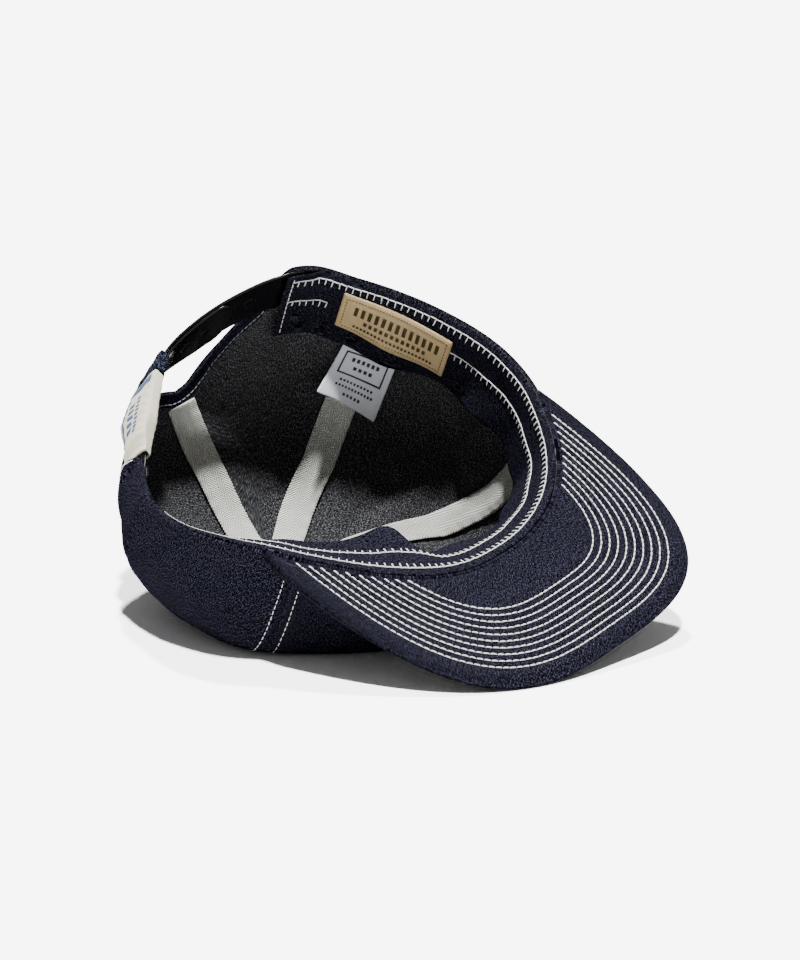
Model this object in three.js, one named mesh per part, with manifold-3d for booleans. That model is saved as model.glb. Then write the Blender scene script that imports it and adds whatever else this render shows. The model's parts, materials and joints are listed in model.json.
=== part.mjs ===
// A five-panel trucker cap in denim, lying upside down on its crown and on the front edge of its visor.
// Millimetres and degrees. World: Z up, the floor at Z = 0, the visor toward -Y, the wearer's right at +X.
// Cap frame: x to the wearer's right, y to the front, d up as worn, so d runs down into the lying crown.
import * as THREE from "three";
import { mergeVertices } from "three/addons/utils/BufferGeometryUtils.js";
import Module from "manifold-3d";

// Driving sizes
const CLOTH = 1.5;
const GAP = 0.35;
const SEAM_GAP = 0.4;
const CROWN_DEPTH = 116;
const CROWN_CENTRE_Y = -21;
const BUTTON_X = 4;
const BUTTON_Y = -26;
const BUTTON_RADIUS = 8.5;
const BUTTON_HEIGHT = 4.2;
const BUTTON_SHANK_RADIUS = 3.4;
const WASHER_RADIUS = 7;
const WASHER_HEIGHT = 0.9;
const CROWN_HOLE_RADIUS = 5.9;
const VISOR_HALF_WIDTH = 88;
const VISOR_REACH = 123.6;
const VISOR_POWER = 3.3;
const VISOR_THICKNESS = 4;
const VISOR_SEAM = 0.3;
const VISOR_END_ANGLE = 71.5;
const VISOR_ROUNDING = 1.6;
const VISOR_COLUMNS = 36;
const VISOR_ROWS = 5;
const SWEATBAND_WIDTH = 32;
const SWEATBAND_THICKNESS = 1.2;
const SWEATBAND_INSET = 3.4;
const SWEATBAND_FROM = 150;
const SWEATBAND_TO = 220.5;
const TAPE_WIDTH = 14;
const TAPE_THICKNESS = 1;
const TAPE_START_DEPTH = 7;
const TAPE_GAP = 0.7;
const FOLD_WEIGHT = 30;
const STRAP_WIDTH = 18;
const STRAP_THICKNESS = 1.2;
const STRAP_TOP = 0.6;
const STRAP_CLEAR = 2.6;
const HOLE_RADIUS = 2.3;
const PEG_RADIUS = 1.7;
const HOLE_PITCH = 9.5;

// Rest pose: the cap is pitched onto the visor and rolled so that the wearer's right side is up
const PITCH = 28.2;
const ROLL = 13.95;

// The crown's lower edge: angle from the front toward the wearer's right, reach from the crown's centre,
// and how far the soft edge has sunk from the visor's plane.
const EDGE = [
  { angle: 0, reach: 86, sink: 0 },
  { angle: 30, reach: 86.5, sink: 0 },
  { angle: 60, reach: 89, sink: 0 },
  { angle: 75, reach: 93, sink: 0 },
  { angle: 90, reach: 95.5, sink: 0 },
  { angle: 110, reach: 94.5, sink: -1 },
  { angle: 130, reach: 94, sink: -3 },
  { angle: 142, reach: 97, sink: -4 },
  { angle: 152, reach: 95, sink: -2 },
  { angle: 163, reach: 96.5, sink: 7.6 },
  { angle: 174, reach: 97, sink: 17 },
  { angle: 184, reach: 96, sink: 25.5 },
  { angle: 193, reach: 89.5, sink: 31 },
  { angle: 202, reach: 84, sink: 34.5 },
  { angle: 213, reach: 80, sink: 37 },
  { angle: 222, reach: 79, sink: 37 },
  { angle: 235, reach: 80.5, sink: 33 },
  { angle: 250, reach: 85.5, sink: 24 },
  { angle: 265, reach: 92, sink: 13 },
  { angle: 278, reach: 93.5, sink: 4 },
  { angle: 290, reach: 90, sink: 0 },
  { angle: 305, reach: 86, sink: 0 },
  { angle: 320, reach: 86, sink: 0 },
  { angle: 340, reach: 87.3, sink: 0 },
];

// The crown wall's section: power of its superellipse (higher is boxier) and its outward flare.
const WALL = [
  { angle: 0, power: 3.2, flare: 0.03 },
  { angle: 60, power: 2.9, flare: 0.04 },
  { angle: 120, power: 2.3, flare: 0.05 },
  { angle: 180, power: 2.0, flare: 0.06 },
  { angle: 215, power: 1.61, flare: 0.235 },
  { angle: 245, power: 1.62, flare: 0.163 },
  { angle: 275, power: 1.9, flare: 0.015 },
  { angle: 300, power: 2.54, flare: 0.11 },
];

// Each crown seam's angle at the lower edge, partway up the wall and at the button.
const SEAMS = {
  front_right: [
    { level: 0, angle: 62 },
    { level: 0.25, angle: 70 },
    { level: 0.5, angle: 81 },
    { level: 0.7, angle: 96 },
    { level: 1, angle: 108 },
  ],
  side_right: [
    { level: 0, angle: 119 },
    { level: 0.3, angle: 125 },
    { level: 0.5, angle: 127 },
    { level: 0.75, angle: 134 },
    { level: 1, angle: 143 },
  ],
  back: [
    { level: 0, angle: 180 },
    { level: 0.27, angle: 174.5 },
    { level: 0.5, angle: 168.5 },
    { level: 0.75, angle: 162 },
    { level: 1, angle: 180 },
  ],
  side_left: [
    { level: 0, angle: 242 },
    { level: 0.5, angle: 240 },
    { level: 1, angle: 232 },
  ],
  front_left: [
    { level: 0, angle: 297 },
    { level: 0.3, angle: 297 },
    { level: 1, angle: 290 },
  ],
};

// The half-moon opening's edge above the strap, as a level up the wall.
const HALF_MOON = [
  { angle: 150.5, level: 0 },
  { angle: 154, level: 0.068 },
  { angle: 158, level: 0.103 },
  { angle: 163.5, level: 0.154 },
  { angle: 167.5, level: 0.192 },
  { angle: 169, level: 0.22 },
  { angle: 172, level: 0.24 },
  { angle: 175.5, level: 0.247 },
  { angle: 180, level: 0.212 },
  { angle: 190, level: 0.2 },
  { angle: 200, level: 0.2 },
  { angle: 208, level: 0.19 },
  { angle: 214, level: 0.15 },
  { angle: 217.5, level: 0.07 },
  { angle: 219.5, level: 0 },
];

// How far the sweatband leans from the wall into the hollow.
const LEAN = [
  { angle: 0, lean: 47 },
  { angle: 20, lean: 36 },
  { angle: 40, lean: 18 },
  { angle: 55, lean: 6 },
  { angle: 75, lean: 0 },
  { angle: 130, lean: 0 },
  { angle: 152, lean: 0 },
  { angle: 190, lean: 0 },
  { angle: 218, lean: 2 },
  { angle: 240, lean: 14 },
  { angle: 262, lean: 42 },
  { angle: 285, lean: 58 },
  { angle: 305, lean: 62 },
  { angle: 322, lean: 74 },
  { angle: 330, lean: 80 },
  { angle: 338, lean: 66 },
  { angle: 350, lean: 52 },
];

// How far the strap's lower edge swings outward, as it twists toward the near tab.
const STRAP_LEAN = [
  { angle: 140, lean: 0 },
  { angle: 172, lean: 0 },
  { angle: 179, lean: 6 },
  { angle: 186, lean: 14 },
  { angle: 192, lean: 21 },
  { angle: 200, lean: 27 },
  { angle: 208, lean: 27 },
  { angle: 216, lean: 16 },
  { angle: 226, lean: 12 },
];

const BELLY = 7;
const BELLY_HEIGHT = 35;
const BELLY_RADIUS = 70;
const FOLD_SOFTNESS = 12;

const radians = THREE.MathUtils.degToRad;
const clamp = THREE.MathUtils.clamp;
const lerp = THREE.MathUtils.lerp;
const smoothstep = THREE.MathUtils.smoothstep;

// Up in the cap frame.
const UP = new THREE.Vector3(
  Math.cos(radians(PITCH)) * Math.sin(radians(ROLL)),
  -Math.sin(radians(PITCH)),
  -Math.cos(radians(PITCH)) * Math.cos(radians(ROLL)),
);

// A closed smooth curve through a table's rows, by angle.
function ringCurve(rows, key) {
  const n = rows.length;
  const slope = rows.map((row, i) => {
    const before = rows[(i + n - 1) % n];
    const after = rows[(i + 1) % n];
    const span = ((after.angle - before.angle + 720) % 360) || 360;
    return (after[key] - before[key]) / span;
  });
  return (angle) => {
    const a = ((angle % 360) + 360) % 360;
    let i = n - 1;
    while (i > 0 && rows[i].angle > a) i -= 1;
    const j = (i + 1) % n;
    const span = ((rows[j].angle - rows[i].angle + 360) % 360) || 360;
    const t = (a - rows[i].angle) / span;
    const s = 1 - t;
    return (
      rows[i][key] * (1 + 2 * t) * s * s +
      rows[j][key] * t * t * (3 - 2 * t) +
      span * (slope[i] * t * s * s - slope[j] * t * t * s)
    );
  };
}

// A smooth open curve through a table's rows, by one of its columns.
function lineCurve(rows, by, key) {
  return (value) => {
    const v = clamp(value, rows[0][by], rows[rows.length - 1][by]);
    let i = rows.length - 2;
    while (i > 0 && rows[i][by] > v) i -= 1;
    const t = (v - rows[i][by]) / (rows[i + 1][by] - rows[i][by]);
    return lerp(rows[i][key], rows[i + 1][key], t);
  };
}

const edgeReach = ringCurve(EDGE, "reach");
const edgeSink = ringCurve(EDGE, "sink");
const wallPower = ringCurve(WALL, "power");
const wallFlare = ringCurve(WALL, "flare");
const bandLean = ringCurve(LEAN, "lean");
const moonLevel = lineCurve(HALF_MOON, "angle", "level");
const strapLean = lineCurve(STRAP_LEAN, "angle", "lean");
const seamAngle = {};
for (const [name, rows] of Object.entries(SEAMS)) seamAngle[name] = lineCurve(rows, "level", "angle");

// A point of the crown's lower edge.
function edgePoint(angle, inset = 0) {
  const reach = edgeReach(angle) - inset;
  return new THREE.Vector3(
    reach * Math.sin(radians(angle)),
    CROWN_CENTRE_Y + reach * Math.cos(radians(angle)),
    edgeSink(angle),
  );
}

// The visor's outline in its own plane, moved in by inset.
function visorOutline(angle, inset = 0) {
  const s = Math.sin(radians(angle));
  const c = Math.cos(radians(angle));
  const x = (VISOR_HALF_WIDTH - inset) * Math.sign(s) * Math.abs(s) ** (2 / VISOR_POWER);
  const y = (VISOR_REACH - inset) * Math.abs(c) ** (2 / VISOR_POWER);
  return new THREE.Vector2(x, y);
}

// A point of the visor: across from -1 to 1, out from 0 at the crown to 1 at the edge, depth through it.
function visorPoint(across, out, depth, inset = 0) {
  const inner = edgePoint(across * VISOR_END_ANGLE, -GAP - inset);
  const outer = visorOutline(across * 87, inset);
  const x = lerp(inner.x, outer.x, out);
  const y = lerp(inner.y, outer.y, out);
  return new THREE.Vector3(x, y, depth);
}

// The visor's rows lie closer toward its edge.
function visorRow(v) {
  return 1 - (1 - v) ** 1.6;
}

// The outer skin of either visor cover, rounded over at the edge.
function visorSkin(across, out, top) {
  const round = VISOR_ROUNDING * smoothstep(out, 0.9, 1);
  return visorPoint(across, out, top ? VISOR_THICKNESS - round : round, 0.2);
}

// The floor is where the visor's lower face is lowest.
function lowestOfVisor() {
  let lowest = Infinity;
  for (let k = 0; k <= VISOR_COLUMNS; k += 1)
    for (let j = 0; j <= VISOR_ROWS; j += 1) {
      const p = visorSkin((2 * k) / VISOR_COLUMNS - 1, visorRow(j / VISOR_ROWS), true);
      lowest = Math.min(lowest, p.dot(UP));
    }
  return lowest;
}
const FLOOR = lowestOfVisor();

// Height that the floor side of the cloth keeps: zero on the floor, more over the button.
const BUTTON_LIFT = BUTTON_HEIGHT + GAP;
function restHeight(distance) {
  return BUTTON_LIFT * (1 - smoothstep(distance, BUTTON_RADIUS + 4, BUTTON_RADIUS + 22));
}

// The button's place on the floor, below the crown's top.
const crownTop = new THREE.Vector3(BUTTON_X, BUTTON_Y, CROWN_DEPTH);
const buttonAt = crownTop.clone().addScaledVector(UP, FLOOR - crownTop.dot(UP));

// Cloth that would reach below the floor lies on it, and the wall above it bellies out.
function settle(p, level) {
  const height = p.dot(UP) - FLOOR;
  const flat = p.clone().addScaledVector(UP, -height);
  const keep = restHeight(flat.distanceTo(buttonAt));
  const x = height - keep;
  let settled = height;
  if (x <= -FOLD_SOFTNESS) settled = keep;
  else if (x < FOLD_SOFTNESS) settled = keep + (x + FOLD_SOFTNESS) ** 2 / (4 * FOLD_SOFTNESS);
  const out = p.clone().sub(new THREE.Vector3(0, -20, 60));
  out.addScaledVector(UP, -out.dot(UP));
  const distance = Math.max(out.length(), 1e-6);
  const toFront = clamp((0.475 * out.y - 0.15 * out.x) / distance + 0.6, 0, 1);
  const swell =
    BELLY *
    Math.exp(-((settled / BELLY_HEIGHT) ** 2)) *
    clamp(distance / BELLY_RADIUS, 0, 1) ** 2 *
    toFront *
    smoothstep(level, 0.02, 0.25);
  return flat.addScaledVector(UP, settled).addScaledVector(out, swell / distance);
}

// The crown's outer face: level 0 at the lower edge, 1 at the button.
function crownFace(angle, level) {
  const a = (level * Math.PI) / 2;
  const power = wallPower(angle);
  const spread = Math.cos(a) ** (2 / power) + wallFlare(angle) * Math.sin(Math.PI * level) * Math.cos(a);
  const rise = Math.sin(a) ** (2 / power);
  const reach = edgeReach(angle);
  const sink = edgeSink(angle);
  const centreX = lerp(BUTTON_X, 0, Math.min(spread, 1));
  const centreY = lerp(BUTTON_Y, CROWN_CENTRE_Y, Math.min(spread, 1));
  const p = new THREE.Vector3(
    centreX + spread * reach * Math.sin(radians(angle)),
    centreY + spread * reach * Math.cos(radians(angle)),
    sink + (CROWN_DEPTH - sink) * rise,
  );
  return settle(p, level);
}

// The unit normal of the crown's outer face, pointing out of the crown.
function crownNormal(angle, level) {
  const da = 1.5;
  const dl = 0.012;
  const l0 = clamp(level - dl, 0, 1);
  const l1 = clamp(level + dl, 0, 1);
  const along = crownFace(angle + da, level).sub(crownFace(angle - da, level));
  const up = crownFace(angle, l1).sub(crownFace(angle, l0));
  return along.cross(up).normalize().negate();
}

function crownPoint(angle, level, inset) {
  return crownFace(angle, level).addScaledVector(crownNormal(angle, level), -inset);
}

// The level at which the crown has closed to a radius about its top.
function closingLevel(angle, radius) {
  const spread = radius / edgeReach(angle);
  return (Math.acos(spread ** (wallPower(angle) / 2)) * 2) / Math.PI;
}

// Levels spaced along the wall by its length, and closer where it turns.
function levelsAlong(angle, start, end, rows) {
  const samples = 120;
  const sums = [0];
  const levels = [];
  const points = [];
  for (let k = 0; k <= samples; k += 1) {
    levels.push(lerp(start, end, k / samples));
    points.push(crownFace(angle, levels[k]));
  }
  for (let k = 1; k <= samples; k += 1) {
    const here = points[k].clone().sub(points[k - 1]);
    const next = points[Math.min(k + 1, samples)].clone().sub(points[k]);
    const turn = k < samples ? here.angleTo(next) : 0;
    sums.push(sums[k - 1] + here.length() + FOLD_WEIGHT * turn);
  }
  const out = [];
  let k = 0;
  for (let row = 0; row <= rows; row += 1) {
    const want = (sums[samples] * row) / rows;
    while (k < samples - 1 && sums[k + 1] < want) k += 1;
    const t = clamp((want - sums[k]) / (sums[k + 1] - sums[k]), 0, 1);
    out.push(lerp(levels[k], levels[k + 1], t));
  }
  return out;
}

// The level at a depth below the lower edge.
function levelAtDepth(angle, depth) {
  const rise = clamp(depth / (CROWN_DEPTH - edgeSink(angle)), 0, 1);
  return (Math.asin(rise ** (wallPower(angle) / 2)) * 2) / Math.PI;
}

// The half-moon's edge, which clears the strap between its two tabs.
function moonStart(angle) {
  const clear = levelAtDepth(angle, STRAP_TOP + STRAP_WIDTH + STRAP_CLEAR);
  const between = smoothstep(angle, 172, 181) * (1 - smoothstep(angle, 213, 217));
  return Math.max(moonLevel(angle), clear * between);
}

// A closed slab between two faces given on the unit square.
function slab(face, back, columns, rows) {
  const points = [];
  const triangles = [];
  const index = (side, i, j) => side * (columns + 1) * (rows + 1) + i * (rows + 1) + j;
  for (const side of [face, back])
    for (let i = 0; i <= columns; i += 1)
      for (let j = 0; j <= rows; j += 1) points.push(side(i / columns, j / rows));
  const quad = (a, b, c, d) => triangles.push(a, b, c, a, c, d);
  for (let i = 0; i < columns; i += 1)
    for (let j = 0; j < rows; j += 1) {
      quad(index(0, i, j), index(0, i + 1, j), index(0, i + 1, j + 1), index(0, i, j + 1));
      quad(index(1, i, j), index(1, i, j + 1), index(1, i + 1, j + 1), index(1, i + 1, j));
    }
  for (let i = 0; i < columns; i += 1) {
    quad(index(0, i, 0), index(1, i, 0), index(1, i + 1, 0), index(0, i + 1, 0));
    quad(index(0, i + 1, rows), index(1, i + 1, rows), index(1, i, rows), index(0, i, rows));
  }
  for (let j = 0; j < rows; j += 1) {
    quad(index(0, 0, j + 1), index(1, 0, j + 1), index(1, 0, j), index(0, 0, j));
    quad(index(0, columns, j), index(1, columns, j), index(1, columns, j + 1), index(0, columns, j + 1));
  }
  return facing(points, triangles);
}

// A closed sleeve: an outer and an inner loop swept along a course.
function sleeve(outer, inner, steps, around) {
  const points = [];
  const triangles = [];
  const index = (side, i, j) => side * (steps + 1) * around + i * around + (j % around);
  for (const side of [outer, inner])
    for (let i = 0; i <= steps; i += 1)
      for (let j = 0; j < around; j += 1) points.push(side(i / steps, j / around));
  const quad = (a, b, c, d) => triangles.push(a, b, c, a, c, d);
  for (let i = 0; i < steps; i += 1)
    for (let j = 0; j < around; j += 1) {
      quad(index(0, i, j), index(0, i + 1, j), index(0, i + 1, j + 1), index(0, i, j + 1));
      quad(index(1, i, j), index(1, i, j + 1), index(1, i + 1, j + 1), index(1, i + 1, j));
    }
  for (let j = 0; j < around; j += 1) {
    quad(index(0, 0, j), index(0, 0, j + 1), index(1, 0, j + 1), index(1, 0, j));
    quad(index(0, steps, j), index(1, steps, j), index(1, steps, j + 1), index(0, steps, j + 1));
  }
  return facing(points, triangles);
}

// A geometry whose faces point out, from points and triangles that close on themselves.
function facing(points, triangles) {
  let volume = 0;
  for (let k = 0; k < triangles.length; k += 3) {
    const [a, b, c] = [points[triangles[k]], points[triangles[k + 1]], points[triangles[k + 2]]];
    volume += a.dot(b.clone().cross(c));
  }
  if (volume < 0)
    for (let k = 0; k < triangles.length; k += 3)
      [triangles[k + 1], triangles[k + 2]] = [triangles[k + 2], triangles[k + 1]];
  const geometry = new THREE.BufferGeometry().setFromPoints(points);
  geometry.setIndex(triangles);
  geometry.computeVertexNormals();
  return geometry;
}

const wasm = await Module();
wasm.setup();

function solidOf(geometry) {
  const bare = geometry.clone();
  bare.deleteAttribute("normal");
  bare.deleteAttribute("uv");
  const merged = mergeVertices(bare, 1e-4);
  return new wasm.Manifold(
    new wasm.Mesh({
      numProp: 3,
      vertProperties: merged.attributes.position.array,
      triVerts: new Uint32Array(merged.index.array),
    }),
  );
}

function geometryOf(solid) {
  const mesh = solid.getMesh();
  const geometry = new THREE.BufferGeometry();
  geometry.setAttribute("position", new THREE.BufferAttribute(mesh.vertProperties, 3));
  geometry.setIndex(new THREE.BufferAttribute(mesh.triVerts, 1));
  geometry.computeVertexNormals();
  return geometry;
}

// Finishes
const denim = () => new THREE.MeshStandardMaterial({ color: 0x1b1e30, roughness: 0.9, metalness: 0 });
const cotton = () => new THREE.MeshStandardMaterial({ color: 0xd9dbd2, roughness: 0.85, metalness: 0 });
const satin = () => new THREE.MeshStandardMaterial({ color: 0xa58c5a, roughness: 0.5, metalness: 0 });
const paperWhite = () => new THREE.MeshStandardMaterial({ color: 0xdfe3e8, roughness: 0.6, metalness: 0 });
const blackPlastic = () => new THREE.MeshStandardMaterial({ color: 0x0c0d0f, roughness: 0.25, metalness: 0 });
const printedCotton = () => new THREE.MeshStandardMaterial({ color: 0xc9c3b2, roughness: 0.85, metalness: 0 });

const cap = new THREE.Group();

function addPiece(name, geometry, material) {
  const mesh = new THREE.Mesh(geometry, material);
  mesh.name = name;
  cap.add(mesh);
  return mesh;
}

// Crown panels, each between two seams.
function panel(from, to, columns, rows, moon) {
  const angleAt = (u, level) => {
    const a = seamAngle[from](level);
    const b = seamAngle[to](level) + (from === "front_left" ? 360 : 0);
    const middle = crownFace((a + b) / 2, level);
    const radius = Math.max(Math.hypot(middle.x - BUTTON_X, middle.y - BUTTON_Y), CROWN_HOLE_RADIUS);
    const trim = THREE.MathUtils.radToDeg(SEAM_GAP / 2 / radius);
    return lerp(a + trim, b - trim, u);
  };
  const place = (inset) => (u, v) => {
    let start = 0;
    for (let k = 0; moon && k < 12; k += 1) start = lerp(start, moonStart(angleAt(u, start)), 0.7);
    const end = closingLevel(angleAt(u, 1), CROWN_HOLE_RADIUS);
    const level = levelsAlong(angleAt(u, 0.5), start, end, rows)[Math.round(v * rows)];
    return crownPoint(angleAt(u, level), level, inset);
  };
  return slab(place(0), place(CLOTH), columns, rows);
}
addPiece("crown_front_panel", panel("front_left", "front_right", 20, 16, false), denim());
addPiece("crown_side_panel_right", panel("front_right", "side_right", 9, 16, false), denim());
addPiece("crown_side_panel_left", panel("side_left", "front_left", 9, 16, false), denim());
addPiece("crown_back_panel_right", panel("side_right", "back", 12, 14, true), denim());
addPiece("crown_back_panel_left", panel("back", "side_left", 12, 14, true), denim());

// The covered button at the top, its shank through the crown and the washer inside.
function topButton() {
  const outer = BUTTON_HEIGHT;
  const inside = BUTTON_LIFT + CLOTH + TAPE_GAP + TAPE_THICKNESS + 3 * GAP;
  const profile = [
    [0, 0],
    [BUTTON_RADIUS * 0.72, 0],
    [BUTTON_RADIUS * 0.94, outer * 0.3],
    [BUTTON_RADIUS, outer * 0.7],
    [BUTTON_RADIUS * 0.9, outer],
    [BUTTON_SHANK_RADIUS, outer],
    [BUTTON_SHANK_RADIUS, inside],
    [WASHER_RADIUS, inside],
    [WASHER_RADIUS * 0.9, inside + WASHER_HEIGHT],
    [0, inside + WASHER_HEIGHT],
  ].map(([r, h]) => new THREE.Vector2(r, h));
  return new THREE.LatheGeometry(profile, 20);
}
const button = addPiece("top_button", topButton(), denim());
button.position.copy(buttonAt);
button.quaternion.setFromUnitVectors(new THREE.Vector3(0, 1, 0), UP);

// Visor covers, sewn together at the edge.
function visorCover(top) {
  const middle = VISOR_THICKNESS / 2;
  const joint = (across, out) => {
    const depth = top ? middle + VISOR_SEAM / 2 : middle - VISOR_SEAM / 2;
    return visorPoint(across, out, depth, 0.2);
  };
  const spread = (u) => 2 * u - 1;
  return slab(
    (u, v) => visorSkin(spread(u), visorRow(v), top),
    (u, v) => joint(spread(u), visorRow(v)),
    VISOR_COLUMNS,
    VISOR_ROWS,
  );
}
addPiece("visor_under_cover", visorCover(false), denim());
addPiece("visor_top_cover", visorCover(true), denim());

// Folds of the sweatband's free edge into the hollow: angle, reach, spread in degrees.
const BAND_FOLDS = [
  [42, 1.8, 6],
  [64, 2.6, 6],
  [88, 3, 6],
  [117, 6, 9],
  [142, 0.8, 4],
];
function bandFold(angle, part) {
  let sum = 0;
  for (const [at, reach, spread] of BAND_FOLDS) sum += reach * Math.exp(-(((angle - at) / spread) ** 2));
  return sum * part ** 1.6;
}

// The sweatband: width measured down from the crown's edge.
function bandPoint(angle, width, inset) {
  const lean = radians(bandLean(angle));
  const down = 0.6 + width * Math.cos(lean);
  const sewn = smoothstep(Math.cos(radians(angle - 184)), 0.7, 0.76);
  const rise = Math.max(smoothstep(width, 0, 3.4), sewn);
  const seat = lerp(CLOTH + GAP, SWEATBAND_INSET + 1.3 * sewn, rise);
  const p = crownPoint(angle, levelAtDepth(angle, down), seat + inset);
  const ripple = 1.4 * Math.sin(radians(angle * 9 + 40)) * (width / SWEATBAND_WIDTH) ** 2;
  const quiet = smoothstep(Math.cos(radians(angle - 40)), -0.1, 0.6);
  const part = width / SWEATBAND_WIDTH;
  const inward = width * Math.sin(lean) + (1.4 + ripple) * quiet * part + bandFold(angle, part);
  p.x -= inward * Math.sin(radians(angle));
  p.y -= inward * Math.cos(radians(angle));
  return p;
}
function sweatband() {
  const at = (u) => lerp(SWEATBAND_TO - 360, SWEATBAND_FROM, u);
  return slab(
    (u, v) => bandPoint(at(u), v * SWEATBAND_WIDTH, 0),
    (u, v) => {
      const angle = at(u);
      const width = v * SWEATBAND_WIDTH;
      const here = bandPoint(angle, width, 0);
      const along = bandPoint(angle + 1, width, 0).sub(bandPoint(angle - 1, width, 0));
      const across = bandPoint(angle, width + 0.5, 0).sub(bandPoint(angle, Math.max(width - 0.5, 0), 0));
      return here.addScaledVector(along.cross(across).normalize(), SWEATBAND_THICKNESS);
    },
    64,
    5,
  );
}
addPiece("sweatband", sweatband(), denim());

// Seam tapes inside the crown, narrowed where they meet under the washer.
function tape(name, startLevel, halfRoom) {
  const rows = 20;
  const at = seamAngle[name];
  const place = (inset) => (u, v) => {
    const first = at(0);
    const start = startLevel ?? levelAtDepth(first, TAPE_START_DEPTH);
    const end = closingLevel(first, CROWN_HOLE_RADIUS + 1.2);
    const level = levelsAlong(at(0.5), start, end, rows)[Math.round(v * rows)];
    const angle = at(level);
    const step = crownFace(angle + 1, level).distanceTo(crownFace(angle - 1, level)) / 2;
    const here = crownFace(angle, level);
    const offTop = here.distanceTo(crownFace(angle, 1));
    const half = Math.min(TAPE_WIDTH / 2, offTop * Math.tan(radians(halfRoom)) - GAP / 2);
    return crownPoint(angle + ((2 * u - 1) * half) / step, level, inset);
  };
  return slab(place(CLOTH + TAPE_GAP), place(CLOTH + TAPE_GAP + TAPE_THICKNESS), 2, rows);
}
addPiece("seam_tape_front_right", tape("front_right", undefined, 15), cotton());
addPiece("seam_tape_side_right", tape("side_right", undefined, 14), cotton());
addPiece("seam_tape_back", tape("back", 0.285, 15), cotton());
addPiece("seam_tape_side_left", tape("side_left", undefined, 22), cotton());
addPiece("seam_tape_front_left", tape("front_left", undefined, 24), cotton());

// The snap strap: its course follows the crown's edge across the half-moon opening.
function strapPoint(angle, width, inset) {
  const lean = radians(strapLean(angle));
  const down = STRAP_TOP + width;
  const out = Math.sin(lean) * down - Math.cos(lean) * inset;
  const p = edgePoint(angle, -out);
  p.z += Math.cos(lean) * down + Math.sin(lean) * inset;
  const sewn = Math.max(1 - smoothstep(angle, 151, 164), smoothstep(angle, 200, 208));
  if (sewn === 0) return p;
  return p.lerp(crownPoint(angle, levelAtDepth(angle, Math.max(STRAP_TOP + width, 0)), inset), sewn);
}
const strapLength = (a, b) => strapPoint(a, 9, 2).distanceTo(strapPoint(b, 9, 2));
const STRAP_HOLES = [];
for (let angle = 166, run = 0; angle < 202 && STRAP_HOLES.length < 7; angle += 0.1) {
  run += strapLength(angle, angle + 0.1);
  if (run >= HOLE_PITCH || STRAP_HOLES.length === 0) {
    STRAP_HOLES.push(angle);
    run = 0;
  }
}
function strap(from, to, insetAt) {
  const half = STRAP_WIDTH / 2;
  const place = (extra) => (u, v) => {
    const angle = lerp(from, to, u);
    const fromEnd = strapLength(angle, to);
    const round = fromEnd < half ? Math.sqrt(half * half - (half - fromEnd) ** 2) : half;
    const kept = Math.max(round, 3);
    return strapPoint(angle, half + (2 * v - 1) * kept, insetAt(angle) + extra);
  };
  return slab(place(0), place(STRAP_THICKNESS), 30, 3);
}
function stud(angle, radius, length, inset) {
  const geometry = new THREE.CylinderGeometry(radius, radius, length, 10);
  const at = strapPoint(angle, STRAP_WIDTH / 2, inset);
  const along = strapPoint(angle + 1, 9, inset).sub(strapPoint(angle - 1, 9, inset));
  const out = along.cross(new THREE.Vector3(0, 0, 1)).normalize();
  const turn = new THREE.Quaternion().setFromUnitVectors(new THREE.Vector3(0, 1, 0), out);
  geometry.applyQuaternion(turn);
  geometry.translate(at.x, at.y, at.z);
  return solidOf(geometry);
}
const OUTER_INSET = CLOTH + GAP;
const INNER_INSET = OUTER_INSET + STRAP_THICKNESS + GAP + 0.25;
let holed = solidOf(strap(145, 205, () => OUTER_INSET + 0.2));
for (const angle of STRAP_HOLES) holed = holed.subtract(stud(angle, HOLE_RADIUS, 8, OUTER_INSET));
addPiece("strap_outer", geometryOf(holed), blackPlastic());
const innerInset = (angle) => lerp(INNER_INSET, OUTER_INSET + 1, smoothstep(angle, 210, 213));
let pegged = solidOf(strap(225, 163, innerInset));
for (const angle of STRAP_HOLES.slice(1, 3)) {
  pegged = pegged.add(stud(angle, PEG_RADIUS, 2.6, INNER_INSET - 0.6));
}
addPiece("strap_inner", geometryOf(pegged), blackPlastic());

// Bands of cloth round the straps.
function strapSleeve(from, to, thickness, steps) {
  const corners = [
    [0, 0],
    [1, 0],
    [1, 1],
    [0, 1],
  ];
  const loop = (grow) => (u, v) => {
    const angle = lerp(from, to, u);
    const side = Math.min(Math.floor(v * 4 + 1e-6), 3);
    const t = v * 4 - side;
    const [a, b] = [corners[side], corners[(side + 1) % 4]];
    const across = lerp(a[0], b[0], t);
    const through = lerp(a[1], b[1], t);
    const width = lerp(-0.5 - grow, STRAP_WIDTH + 0.5 + grow, across);
    const near = OUTER_INSET - GAP - grow;
    const far = INNER_INSET + STRAP_THICKNESS + GAP + grow;
    return strapPoint(angle, width, lerp(near, far, through));
  };
  return sleeve(loop(thickness), loop(0), steps, 8);
}
addPiece("strap_keeper", strapSleeve(184.4, 188.8, 1.2, 2), denim());
addPiece("strap_label", strapSleeve(189.4, 208.6, 1, 12), printedCotton());

// The woven label on the sweatband.
function wovenLabel() {
  const place = (inset) => (u, v) =>
    bandPoint(
      lerp(101, 132.5, u),
      lerp(lerp(8.4, 5.2, u), lerp(27.4, 23, u), v),
      SWEATBAND_THICKNESS + GAP + inset,
    );
  return slab(place(0), place(1), 14, 3);
}
addPiece("woven_label", wovenLabel(), satin());

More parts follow.
